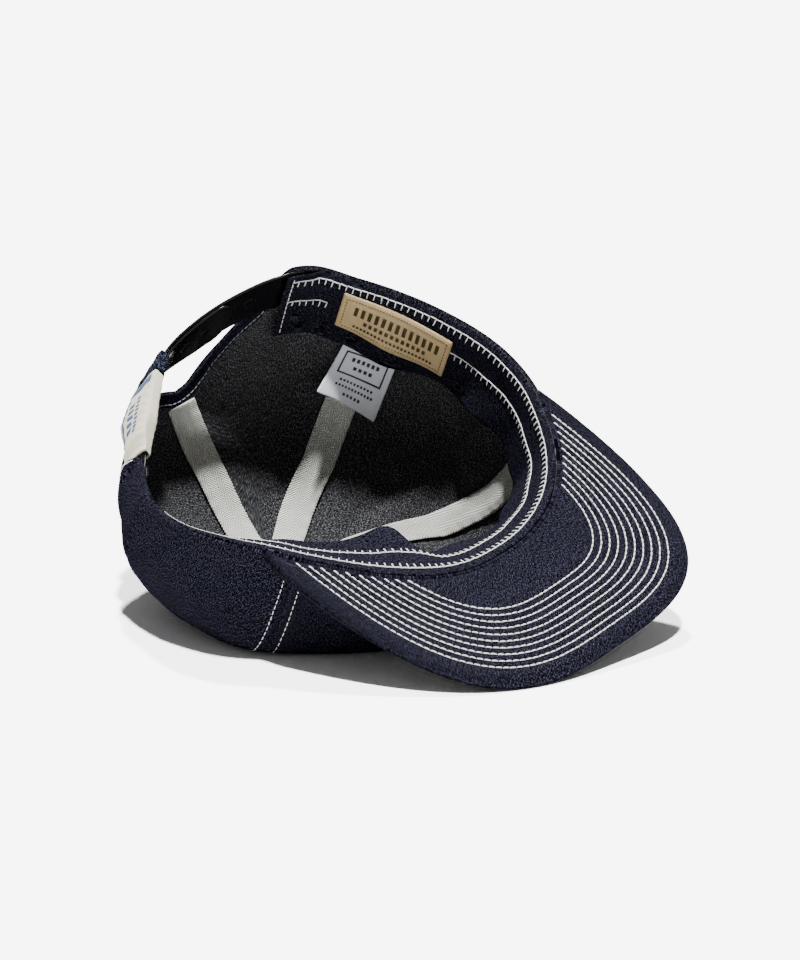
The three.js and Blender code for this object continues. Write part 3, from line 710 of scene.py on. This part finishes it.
def add_relief(tree, shader, height, strength, distance):
    relief = tree.nodes.new("ShaderNodeBump")
    set_inputs(relief, {"Strength": strength, "Distance": distance})
    tree.links.new(height, relief.inputs["Height"])
    tree.links.new(relief.outputs[0], shader.inputs["Normal"])


def grouped_material(name, group, settings, rough, specular, strength, distance, solid=False):
    """A material from a weave group, laid out by the piece's own lengths or, on a solid, in space."""
    mat, tree, shader = new_material(name, rough, specular)
    node = tree.nodes.new("ShaderNodeGroup")
    node.node_tree = group
    if solid:
        coords = tree.nodes.new("ShaderNodeTexCoord")
        place = mapped(tree, coords.outputs["Object"], 0.0, (1000, 1000, 1000))
    else:
        layer = tree.nodes.new("ShaderNodeUVMap")
        layer.uv_map = "cloth"
        place = layer.outputs[0]
    tree.links.new(place, node.inputs["Place"])
    set_inputs(node, settings)
    tree.links.new(node.outputs["Color"], shader.inputs["Base Color"])
    add_relief(tree, shader, node.outputs["Height"], strength, distance)
    return mat


TWILL = twill_group()
HERRINGBONE = herringbone_group()
THREAD = thread_group()


def denim_cloth(name, dark, light, specks, strength, solid=False):
    settings = {"Dark": (*dark, 1), "Light": (*light, 1), "Specks": specks}
    return grouped_material(name, TWILL, settings, 0.95, 0.0, strength, 0.0003, solid)


def woven_cloth(name, tone, rough, specular, strength, distance):
    return grouped_material(name, HERRINGBONE, {"Thread": (*tone, 1)}, rough, specular, strength, distance)


def thread_cloth(name, tone, rough, specular, strength):
    return grouped_material(name, THREAD, {"Tone": (*tone, 1)}, rough, specular, strength, 0.0001, True)


denim = denim_cloth("denim", (0.0006, 0.0006, 0.0014), (0.05, 0.05, 0.075), 0.5, 0.6)
denim_back = denim_cloth("denim_back", (0.006, 0.006, 0.006), (0.17, 0.175, 0.19), 0.55, 0.5)
denim_trim = denim_cloth("denim_trim", (0.001, 0.0012, 0.003), (0.05, 0.056, 0.085), 0.75, 0.5, True)
tape_cloth = woven_cloth("tape", (0.46, 0.46, 0.425), 0.9, 0.1, 0.8, 0.0005)
gold_cloth = woven_cloth("gold_satin", (0.27, 0.195, 0.095), 0.55, 0.25, 0.35, 0.0002)
tag_cloth = woven_cloth("white_satin", (0.42, 0.43, 0.47), 0.6, 0.2, 0.2, 0.0001)
cream_cloth = woven_cloth("cream_cotton", (0.37, 0.34, 0.28), 0.9, 0.1, 0.35, 0.0002)
white_thread = thread_cloth("white_thread", (0.4, 0.4, 0.385), 0.8, 0.1, 0.4)
dim_thread = thread_cloth("dim_thread", (0.13, 0.135, 0.155), 0.8, 0.1, 0.4)
gold_thread = thread_cloth("gold_thread", (0.1, 0.065, 0.028), 0.8, 0.1, 0.3)
brown_ink = thread_cloth("brown_ink", (0.03, 0.02, 0.008), 0.9, 0.05, 0.3)
blue_ink = thread_cloth("blue_ink", (0.04, 0.055, 0.1), 0.9, 0.05, 0.3)
grey_ink = thread_cloth("grey_ink", (0.02, 0.02, 0.028), 0.9, 0.05, 0.3)


def plastic():
    """Black moulded plastic, glossy, with a faint scuffed unevenness."""
    mat, tree, shader = new_material("black_plastic", 0.22, 0.1)
    coords = tree.nodes.new("ShaderNodeTexCoord")
    scuff = noise_node(tree, coords.outputs["Object"], 420, 3.0)
    color = mix_node(tree, scuff, (0.0005, 0.0006, 0.0008, 1), (0.0012, 0.0013, 0.0018, 1))
    tree.links.new(color, shader.inputs["Base Color"])
    tree.links.new(plus(tree, times(tree, scuff, 0.2), 0.14), shader.inputs["Roughness"])
    add_relief(tree, shader, scuff, 0.05, 0.0002)
    return mat


black_plastic = plastic()


# Crown


def angle_at(left, right, u, level):
    """The angle a part u of the way from one seam to the next."""
    a = seam_angle[left](level)
    b = seam_angle[right](level) + (360 if left == "front_left" else 0)
    middle = crown_face((a + b) / 2, level)
    radius = np.maximum(np.hypot(middle[..., 0] - BUTTON[0], middle[..., 1] - BUTTON[1]), HOLE_RADIUS)
    trim = np.degrees(0.06 / radius)
    return a + trim + (b - a - 2 * trim) * u


def panel_grid(left, right, columns, rows, moon):
    """A panel's angles and levels, evenly spaced up the wall, from its edge to the button's hole."""
    us = np.linspace(0, 1, columns + 1)
    start = np.zeros(columns + 1)
    if moon:
        for _ in range(14):
            start = start + 0.7 * (moon_start(angle_at(left, right, us, start)) - start)
    end = closing_level(angle_at(left, right, us, np.ones(columns + 1)), HOLE_RADIUS)
    levels = start[:, None] + (end - start)[:, None] * np.linspace(0, 1, 141)[None]
    p = crown_face(angle_at(left, right, us[:, None], 0.5 + 0 * levels), levels)
    want = np.linspace(0, 1, rows + 1)
    totals = [lengths(line) for line in p]
    level = np.stack([np.interp(want * run[-1], run, line) for run, line in zip(totals, levels)])
    return angle_at(left, right, us[:, None], level), level


def panel(name, left, right, columns, rows, moon=False):
    """A crown panel, dipped and puckered along its seams."""
    angle, level = panel_grid(left, right, columns, rows, moon)
    face = crown_point(angle, level, 0.0)
    width = np.linalg.norm(face[-1] - face[0], axis=-1)
    across = np.linspace(0, 1, columns + 1)[:, None] * width[None]
    seam = np.minimum(across, width[None] - across)
    dip = 0.45 * np.exp(-((seam / 0.8) ** 2)) - 0.3 * np.exp(-(((seam - 3.2) / 2.2) ** 2))
    dip = dip * smooth(face @ UP - FLOOR, 0.5, 3.0) * smooth(level, 0.0, 0.03)
    normal = crown_normal(angle, level)
    outer = face - normal * dip[..., None]
    inner = face - normal * CLOTH
    return shell(name, outer, inner, [denim, denim_back])


panel("crown_front_panel", "front_left", "front_right", 150, 110)
panel("crown_side_panel_right", "front_right", "side_right", 60, 110)
panel("crown_side_panel_left", "side_left", "front_left", 60, 110)
panel("crown_back_panel_right", "side_right", "back", 76, 90, True)
panel("crown_back_panel_left", "back", "side_left", 76, 90, True)


# Visor


def depth_in(x, y):
    """Distance in from the visor's outline, of the outline's own shape that passes through the point."""
    low, high = np.zeros_like(x), np.full_like(x, 60.0)
    for _ in range(24):
        mid = (low + high) / 2
        across = (np.abs(x) / (VISOR_HALF_WIDTH - mid)) ** VISOR_POWER
        inside = across + (y / (VISOR_REACH - mid)) ** VISOR_POWER < 1
        low = np.where(inside, mid, low)
        high = np.where(inside, high, mid)
    return (low + high) / 2


def visor_cover(name, top):
    """One of the visor's covers: puffed at its edge and grooved between the rows of stitches."""
    us = np.linspace(-1, 1, 221)[:, None]
    vs = (1 - (1 - np.linspace(0, 1, 91)) ** 1.15)[None]
    x, y = visor_point(us, vs)
    inset = depth_in(x, np.maximum(y, 1e-3))
    k = (inset - ROW_INSET) / ROW_PITCH
    in_rows = smooth(k, -0.6, 0.0) * (1 - smooth(k, VISOR_ROWS - 1, VISOR_ROWS - 0.4))
    groove = 0.16 * np.cos(2 * math.pi * k) * in_rows
    uneven = 0.12 * ripple(np.stack([x, y, 0 * x], -1) * 1.4)
    puff = 0.35 * smooth(inset, 0.5, 3.5) * (1 - smooth(inset, 4.5, 7.5)) + uneven
    relief = (0.2 + puff - groove - 0.12 * in_rows) * smooth(vs, 0.0, 0.03)
    rounding = 1.6 * smooth(vs, 0.9, 1) ** 1.5
    if top:
        depth = np.minimum(VISOR_THICKNESS - rounding + relief, VISOR_THICKNESS)
        joint = VISOR_THICKNESS / 2 + VISOR_JOINT
    else:
        depth = rounding - relief
        joint = VISOR_THICKNESS / 2 - VISOR_JOINT
    outer = np.stack([x, y, depth], -1)
    back = np.stack([x, y, joint + 0 * x], -1)
    return shell(name, outer, back, [denim, denim], 0.1)


def visor_stitches():
    """Rows of stitches parallel to the visor's outline, on both of its faces."""
    found = []
    angles = np.linspace(-89.5, 89.5, 700)
    for depth, way, seed in ((0.0, -1.0, 5), (VISOR_THICKNESS, 1.0, 50)):
        for k in range(VISOR_ROWS):
            x, y = outline(angles, ROW_INSET + ROW_PITCH * k)
            turn = np.degrees(np.arctan2(x, y - CENTRE_Y))
            clear = np.hypot(x, y - CENTRE_Y) > edge_reach(turn) + 0.7
            path = np.stack([x, y, depth + 0 * x], -1)[clear]
            found.append(along_path(path, np.tile([0, 0, way], (len(path), 1)), 2.9, 0.95, seed + k, 0.1))
    threads("visor_stitches", found, 0.31, white_thread, -0.05)


visor_cover("visor_under_cover", False)
visor_cover("visor_top_cover", True)
visor_stitches()


# Sweatband


def band_skin(angle, width):
    """The sweatband's middle, its normal and the cloth's slight unevenness."""
    line = band_point(angle, width, 0)
    return line, band_normal(angle, width), 0.35 * ripple(line * 1.6) * smooth(width, 2, 8)


def sweatband():
    angle = np.linspace(BAND_TO, BAND_FROM, 401)[:, None]
    width = np.linspace(0, BAND_WIDTH, 29)[None]
    angle, width = np.broadcast_arrays(angle, width)
    face, normal, small = band_skin(angle, width)
    seen = face + normal * (BAND_THICKNESS + small)[..., None]
    back = face + normal * np.minimum(small, 0.2)[..., None]
    return shell("sweatband", seen, back, [denim, denim_back])


sweatband()


def blanket_row(name, width, seed, skip=()):
    """A line of thread with short teeth toward the sweatband's free edge."""
    tooth, pitch = 3.0, 3.1
    angle = np.linspace(BAND_TO + 3.5, BAND_FROM - 1.2, 1400)
    line, normal, small = band_skin(angle, width + 0 * angle)
    line = line + normal * (BAND_THICKNESS + small + 0.1)[:, None]
    a, b, n = along_path(line, normal, pitch, 0.97, seed, 0.15)
    toward = band_point(angle, width + 1.0 + 0 * angle, 0) - band_point(angle, width + 0 * angle, 0)
    run = lengths(line)
    at = np.arange(len(a)) * run[-1] / len(a)
    way = unit(np.stack([np.interp(at, run, toward[:, k]) for k in range(3)], 1))
    where = np.interp(at, run, angle)
    rng = np.random.default_rng(seed)
    length = tooth * (1 + rng.normal(0, 0.08, len(a)))[:, None]
    slant = unit(b - a) * rng.normal(0, 0.25, (len(a), 1))
    keep = np.ones(len(a), bool)
    for low, high in skip:
        keep &= ~((where > low) & (where < high))
    # The line runs thin along the bare rim at the near back, where only its outer edge shows.
    thin = 0.12 + 0.14 * smooth(where[keep], -88, -66)
    line_row = (a[keep], b[keep], n[keep])
    teeth_row = (a[keep], (a + way * length + slant)[keep], n[keep])
    threads(name, [line_row, teeth_row], np.concatenate([thin, np.minimum(thin, 0.25)]), white_thread, 0.05)


blanket_row("edge_stitches", 2.6, 11)
blanket_row("band_stitches", 14.0, 12, [(99.5, 134.5)])


# Tapes


def tape(name, seam, start_level, half_room):
    """A straight tape over a seam, cut to a point where the tapes meet."""
    at = seam_angle[seam]
    rows, columns = 140, 14
    start = level_at_depth(at(0), TAPE_TOP) if start_level is None else start_level
    end = closing_level(at(0), HOLE_RADIUS + 1.2)
    levels = start + (end - start) * np.linspace(0, 1, 201)
    total = lengths(crown_face(at(levels), levels))
    part = np.linspace(0, 1, rows + 1)
    level = np.interp(total[-1] * part, total, levels)[None]
    angle = at(level)
    off = np.linalg.norm(crown_face(angle, level) - crown_face(angle, 1 + 0 * level), axis=-1)
    half = np.minimum(TAPE_WIDTH / 2, off * math.tan(math.radians(half_room)) - GAP / 2)
    across = np.linspace(-1, 1, columns + 1)[:, None]
    angle = angle + across * half / per_degree(angle, level, 1)
    level = np.broadcast_to(level, angle.shape)
    puff = 0.35 * (1 - across**2) + 0.12 * np.sin(total[-1] * part * 0.9)[None] * across**2
    face = crown_point(angle, level, TAPE_INSET + TAPE_THICKNESS)
    face = face - crown_normal(angle, level) * puff[..., None]
    return shell(name, face, crown_point(angle, level, TAPE_INSET), [tape_cloth, tape_cloth])


tape("seam_tape_front_right", "front_right", None, 15)
tape("seam_tape_side_right", "side_right", None, 14)
tape("seam_tape_back", "back", 0.285, 15)
tape("seam_tape_side_left", "side_left", None, 22)
tape("seam_tape_front_left", "front_left", None, 24)


# Straps


def strap_length(a, b):
    middle = STRAP_WIDTH / 2
    return float(np.linalg.norm(strap_point(a, middle, 2) - strap_point(b, middle, 2)))


def strap_holes():
    """The snap holes' places, a hole's pitch apart along the outer strap."""
    found, run, angle = [], 0.0, HOLE_FROM
    while len(found) < HOLE_COUNT:
        run += strap_length(angle, angle + 0.1)
        if run >= HOLE_PITCH or not found:
            found.append(angle)
            run = 0.0
        angle += 0.1
    return found


def strap(name, start, end, inset_at):
    """One half of the snap strap, with a round end."""
    us = np.linspace(0, 1, 161)
    angle = start + (end - start) * us
    from_end = np.array([strap_length(a, end) for a in angle])
    half = STRAP_WIDTH / 2
    kept = np.sqrt(np.maximum(half**2 - (half - np.minimum(from_end, half)) ** 2, 0))
    kept = np.maximum(kept, 2)
    v = np.linspace(-1, 1, 21)[None]
    width = half + v * kept[:, None]
    angle = angle[:, None] + 0 * width
    inset = inset_at(angle) + 0.12 * v**8
    face = strap_point(angle, width, inset + STRAP_THICKNESS - 0.24 * v**8)
    back = strap_point(angle, width, inset)
    return shell(name, face, back, [black_plastic, black_plastic], 0.3)


def inner_inset(angle):
    """The inner strap steps out to the wall where it is sewn."""
    return INNER_INSET + (OUTER_INSET + 1 - INNER_INSET) * smooth(angle, 210, 213)


strap("strap_outer", 145.0, 205.0, lambda angle: OUTER_INSET + 0.2 + 0 * angle)
strap("strap_inner", 225.0, 163.0, inner_inset)


def stud(angle, inset, radius, height):
    """A low round stud on the strap's inner face."""
    at = strap_point(angle, STRAP_WIDTH / 2, inset)
    along = unit(strap_point(angle + 1, 9, inset) - strap_point(angle - 1, 9, inset))
    across = unit(strap_point(angle, 12, inset) - strap_point(angle, 6, inset))
    inward = unit(np.cross(across, along))
    if inward @ (np.array([0, CENTRE_Y, at[2]]) - at) < 0:
        inward = -inward
    turn = np.arange(STUD_SIDES) * 2 * math.pi / STUD_SIDES
    circle = np.cos(turn)[:, None] * along + np.sin(turn)[:, None] * across
    rows = [at + inward * (height * (1 - drop)) + radius * part * circle for part, drop in STUD_RINGS]
    points = np.concatenate([[at + inward * height]] + rows)
    here = np.arange(STUD_SIDES)
    there = (here + 1) % STUD_SIDES
    faces = np.stack([0 * here, 1 + here, 1 + there], 1).tolist()
    for k in range(len(rows) - 1):
        base = 1 + STUD_SIDES * k
        above = base + STUD_SIDES
        faces += np.stack([base + here, above + here, above + there, base + there], 1).tolist()
    faces.append((1 + STUD_SIDES * (len(rows) - 1) + here[::-1]).tolist())
    return points, faces


def merged(name, parts, mat):
    """One mesh from several lists of points and faces."""
    points, faces, base = [], [], 0
    for p, f in parts:
        points.append(p)
        faces += [[i + base for i in face] for face in f]
        base += len(p)
    return make_object(name, np.concatenate(points), faces, [mat])


studs = [stud(158.5, OUTER_INSET + 1.35, 2.6, 0.4)]
studs += [stud(a, INNER_INSET + STRAP_THICKNESS - 0.1, STUD_RADIUS, 0.4) for a in strap_holes()[1:3]]
studs += [stud(a, OUTER_INSET + 0.3, STUD_RADIUS, -0.45) for a in strap_holes() if a < 184]
finish_piece(merged("strap_studs", studs, black_plastic))


def sleeve(name, start, end, thickness, mat, soft):
    """A loop of cloth round both straps."""
    turn = np.linspace(0, 2 * math.pi, 73)[None]
    along = np.linspace(0, 1, 61)[:, None]

    def loop(grow):
        angle = start + (end - start) * along
        tucked = smooth(angle, 208.6, 213.0)
        near = OUTER_INSET - GAP - grow + 1.15 * tucked
        far = INNER_INSET + STRAP_THICKNESS + GAP + grow
        cosine, sine = np.cos(turn), np.sin(turn)
        width = 9 + (9.5 + grow) * np.sign(cosine) * np.abs(cosine) ** 0.3
        mid, half = (near + far) / 2, (far - near) / 2
        inset = mid + half * np.sign(sine) * np.abs(sine) ** 0.3
        fat = soft * np.sin(math.pi * along) ** 0.7 * np.abs(sine) ** 2 * (1 - tucked)
        width, inset, angle = np.broadcast_arrays(width, inset + np.sign(sine) * fat, angle)
        small = 0.18 * np.sin(angle * 2.3 + width * 0.5) * np.abs(sine)
        return strap_point(angle, width, inset + small)

    outer, inner = loop(thickness), loop(0.0)
    nu, nv = outer.shape[:2]
    nv -= 1
    off = nu * nv
    grid = np.arange(off).reshape(nu, nv)
    there = np.roll(grid, -1, 1)
    corners = np.stack([grid[:-1], grid[1:], there[1:], there[:-1]], -1).reshape(-1, 4)
    out_faces = corners[:, [0, 3, 2, 1]]
    first = np.stack([grid[0], grid[0] + off, there[0] + off, there[0]], -1)
    last = np.stack([grid[-1], there[-1], there[-1] + off, grid[-1] + off], -1)
    faces = np.concatenate([out_faces, corners + off, first, last])
    points = np.concatenate([outer[:, :-1].reshape(-1, 3), inner[:, :-1].reshape(-1, 3)])
    quad = out_faces[len(out_faces) // 2]
    if not faces_out(quad, points, quad[0] + off, quad[0]):
        faces = faces[:, ::-1]
    round_it, along_it = lengths(outer[nu // 2])[:-1], lengths(outer[:, 0])
    uv = np.stack(np.broadcast_arrays(round_it[None], along_it[:, None]), -1).reshape(-1, 2)
    obj = make_object(name, points, faces.tolist(), [mat], None, np.concatenate([uv, uv]))
    return finish_piece(obj, [name])


sleeve("strap_keeper", 184.4, 188.8, 1.2, denim_trim, 0.2)
sleeve("strap_label", 189.4, 215.5, 1.0, cream_cloth, 0.9)


# Labels


def patch(name, place, nu, nv, thickness, mat, puff=0.0):
    """A small sheet; place gives a point for u, v and a height over its back."""
    u = np.linspace(0, 1, nu + 1)[:, None] + np.zeros((1, nv + 1))
    v = np.linspace(0, 1, nv + 1)[None] + np.zeros((nu + 1, 1))
    edge = np.minimum(np.minimum(u, 1 - u) * 3.0, np.minimum(v, 1 - v))
    rise = puff * (smooth(edge, 0.0, 0.1) - 0.8 * bump(edge, 0.16, 0.045))
    return shell(name, place(u, v, thickness + rise), place(u, v, 0 * u), [mat, mat], 0.4)


def gold_place(u, v, height):
    """The woven label, slanted on the sweatband."""
    angle = 101 + 31.5 * u
    width = (8.4 - 3.2 * u) + ((27.4 - 4.4 * u) - (8.4 - 3.2 * u)) * v
    base = band_point(angle, width, 0)
    normal = band_normal(angle, width)
    wave = 0.25 * np.sin(u * 9 + v * 2) * np.sin(math.pi * u)
    return base + normal * (1.6 + wave + height)[..., None]


def tag_place(u, v, height):
    """The care tag on the wall, its loose corner curled away."""
    curl = (u * v) ** 1.4
    low, high = 113.8 + 15.1 * u, 114.5 + 17.4 * u
    angle = low + (high - low) * v + TAG_CURL_TURN * curl
    depth = TAG_TOP + ((TAG_FOOT - 6 * u) - TAG_TOP) * v - TAG_CURL_RISE * curl
    level = level_at_depth(angle, depth)
    lift = TAG_INSET + 0.4 * np.sin(u * 4.5 + 0.6) * v + TAG_CURL * curl + 1.2 * v**2 + height
    return crown_face(angle, level) - crown_normal(angle, level) * lift[..., None]


patch("woven_label", gold_place, 72, 36, 1.0, gold_cloth, 0.5)
patch("care_tag", tag_place, 40, 40, 0.8, tag_cloth)


def marks(name, place, boxes, mat, height):
    """Flat printed or woven marks on a label: each box is u0, u1, v0, v1."""
    parts = []
    for u0, u1, v0, v1 in boxes:
        nu = max(2, int((u1 - u0) * 40) + 1)
        u = np.linspace(u0, u1, nu + 1)[:, None] + np.zeros((1, 4))
        v = np.linspace(v0, v1, 4)[None] + np.zeros((nu + 1, 1))
        top = place(u, v, height + 0 * u).reshape(-1, 3)
        low = place(u, v, height - 0.3 + 0 * u).reshape(-1, 3)
        grid = np.arange((nu + 1) * 4).reshape(nu + 1, 4)
        quads, ring = cells(grid), border(grid)[0]
        off = len(top)
        there = np.roll(ring, -1)
        rim = np.stack([ring, ring + off, there + off, there], 1)
        faces = np.concatenate([quads, quads[:, [0, 3, 2, 1]] + off, rim])
        points = np.concatenate([top, low])
        if not faces_out(faces[0], points, off, 0):
            faces = faces[:, ::-1]
        parts.append((points, faces.tolist()))
    return finish_piece(merged(name, parts, mat))


def dashes(*rows):
    """Rows of boxes: v0, v1, the row's start and stop along u, its count and the filled part of a step."""
    found = []
    for v0, v1, start, stop, count, fill in rows:
        step = (stop - start) / count
        found += [(start + i * step, start + (i + fill) * step, v0, v1) for i in range(count)]
    return found


marks(
    "woven_label_marks", gold_place,
    dashes(
        (0.25, 0.5, 0.09, 0.92, 13, 0.52), (0.58, 0.68, 0.2, 0.8, 12, 0.6), (0.77, 0.83, 0.12, 0.88, 22, 0.55),
    ),
    brown_ink, 1.62,
)
sides = dashes((0.028, 0.038, 0.1, 0.9, 9, 0.6), (0.962, 0.972, 0.1, 0.9, 9, 0.6))
marks(
    "woven_label_border", gold_place,
    dashes((0.075, 0.105, 0.03, 0.97, 34, 0.6), (0.895, 0.925, 0.03, 0.97, 34, 0.6))
    + [(u0, u1, v0, v1) for v0, v1, u0, u1 in sides],
    gold_thread, 1.46,
)
marks(
    "care_tag_marks", tag_place,
    [(0.1, 0.9, 0.1, 0.13), (0.1, 0.9, 0.5, 0.53), (0.1, 0.13, 0.1, 0.53), (0.87, 0.9, 0.1, 0.53)]
    + dashes(
        (0.2, 0.27, 0.24, 0.78, 6, 0.6), (0.35, 0.41, 0.32, 0.7, 4, 0.6), (0.61, 0.65, 0.2, 0.82, 10, 0.6),
        (0.71, 0.75, 0.16, 0.86, 12, 0.6), (0.83, 0.88, 0.34, 0.68, 5, 0.6),
    ),
    grey_ink, 0.86,
)


def sleeve_place(u, v, height):
    """The outer face of the label round the straps."""
    angle = 189.9 + 17.6 * u
    fat = 0.9 * np.sin(math.pi * (angle - 189.4) / 26.1) ** 0.7
    return strap_point(angle, 0.2 + 17.6 * v, OUTER_INSET - GAP - 1.0 - fat * 0.92 - height)


marks(
    "strap_label_marks", sleeve_place,
    [(0.02, 0.14, 0.03, 0.97), (0.2, 0.98, 0.86, 0.92)]
    + dashes((0.3, 0.42, 0.3, 0.95, 9, 0.5), (0.5, 0.72, 0.36, 0.9, 5, 0.55)),
    blue_ink, 0.22,
)


# Stitches on the crown and the half-moon's hem


def crown_stitches(angle, level, seed):
    face = crown_point(angle, level, 0.0)
    normal = crown_normal(angle, level)
    clear = (face @ UP - FLOOR) > 0.8
    face, normal = face[clear], normal[clear]
    return along_path(face + normal * 0.12, normal, 2.6, 0.86, seed)


def seam_stitches():
    """Two lines beside each seam; the left side's seam is plain."""
    found = []
    for seed, name in enumerate(SEAMS):
        if name not in SEAM_STARTS:
            continue
        level = np.linspace(SEAM_STARTS[name], SEAM_TOP, 420)
        angle = seam_angle[name](level)
        step = per_degree(angle, level)
        for side in (-1, 1):
            found.append(crown_stitches(angle + side * SEAM_OFFSET / step, level, 80 + seed * 2 + (side > 0)))
    threads("seam_stitches", found, 0.21, white_thread)


def hem_level(angle, width):
    """The level a width in millimetres above the half-moon's edge."""
    start = moon_start(angle)
    step = np.linalg.norm(crown_face(angle, start + 0.02) - crown_face(angle, start), axis=-1) / 0.02
    steep = np.sqrt(1 + (np.gradient(start, angle) * step / per_degree(angle, start)) ** 2)
    return start + np.minimum(width * steep, width * 3.2) / step


def half_moon_hem():
    """The half-moon's hem, turned to the inside, with its line of stitches on both faces."""
    arch = np.linspace(151.2, 218.8, 300)
    rows = np.linspace(0.3, 6.0, 9)
    angle = arch[:, None] + 0 * rows[None]
    level = np.stack([hem_level(arch, w) for w in rows], 1)
    face, normal = crown_face(angle, level), crown_normal(angle, level)
    seen, back = face - normal * (CLOTH + 0.75), face - normal * (CLOTH + 0.05)
    shell("half_moon_hem", seen, back, [denim, denim], stands_for=())
    for name, depth, way, width, mat in (
        ("hem_stitches_inside", CLOTH + 0.8, -1, 4.8, dim_thread),
        ("hem_stitches_outside", -0.05, 1, 1.7, white_thread),
    ):
        level = hem_level(arch, width)
        normal = crown_normal(arch, level)
        row = along_path(crown_face(arch, level) - normal * depth, normal * way, 2.4, 0.84, 31)
        threads(name, [row], 0.26, mat)


def band_end_stitches():
    """A line of stitches closes the sweatband's far end."""
    down = np.linspace(1.0, 31.0, 120)
    line = band_point(148.6 + 0 * down, down, 0)
    normal = band_normal(148.6 + 0 * down, down)
    threads("band_end_stitches", [along_path(line + normal * 1.4, normal, 2.4, 0.84, 41)], 0.24, white_thread)


seam_stitches()
half_moon_hem()
band_end_stitches()

# The button's own solid gets the denim of the rest
for obj in bpy.data.objects:
    if obj.type == "MESH" and obj.name.startswith("top_button"):
        obj.data.materials.clear()
        obj.data.materials.append(denim_trim)


# Floor and lights

FLOOR_HALF = 9
FLOOR_Z = -0.0005
corners = [(x * FLOOR_HALF, y * FLOOR_HALF, FLOOR_Z) for x, y in ((-1, -1), (1, -1), (1, 1), (-1, 1))]
floor_mesh = bpy.data.meshes.new("floor")
floor_mesh.from_pydata(corners, [], [(0, 1, 2, 3)])
floor = add_object("floor", floor_mesh)
floor_mat, _, floor_shader = new_material("floor", 0.9, 0.1)
set_inputs(floor_shader, {"Base Color": (0.93, 0.93, 0.93, 1)})
floor_mesh.materials.append(floor_mat)

world = bpy.data.worlds.new("studio")
world.use_nodes = True
set_inputs(world.node_tree.nodes["Background"], {"Color": (1, 1, 1, 1), "Strength": 0.3})
bpy.context.scene.world = world


def sun(name, energy, direction, spread):
    """A sun that shines from a direction, as wide as its spread in degrees."""
    data = bpy.data.lights.new(name, "SUN")
    data.energy = energy
    data.angle = math.radians(spread)
    obj = add_object(name, data)
    back = unit(np.array(direction, float))
    right = unit(np.cross([0.0, 1.0, 0.001], back))
    obj.matrix_world = placed((right, np.cross(back, right), back), direction)


sun("key", 16.6, (-0.1830, -0.1830, 0.9659), 3.5)
sun("back", 9.4, (0.3673, 0.2668, 0.8910), 4)
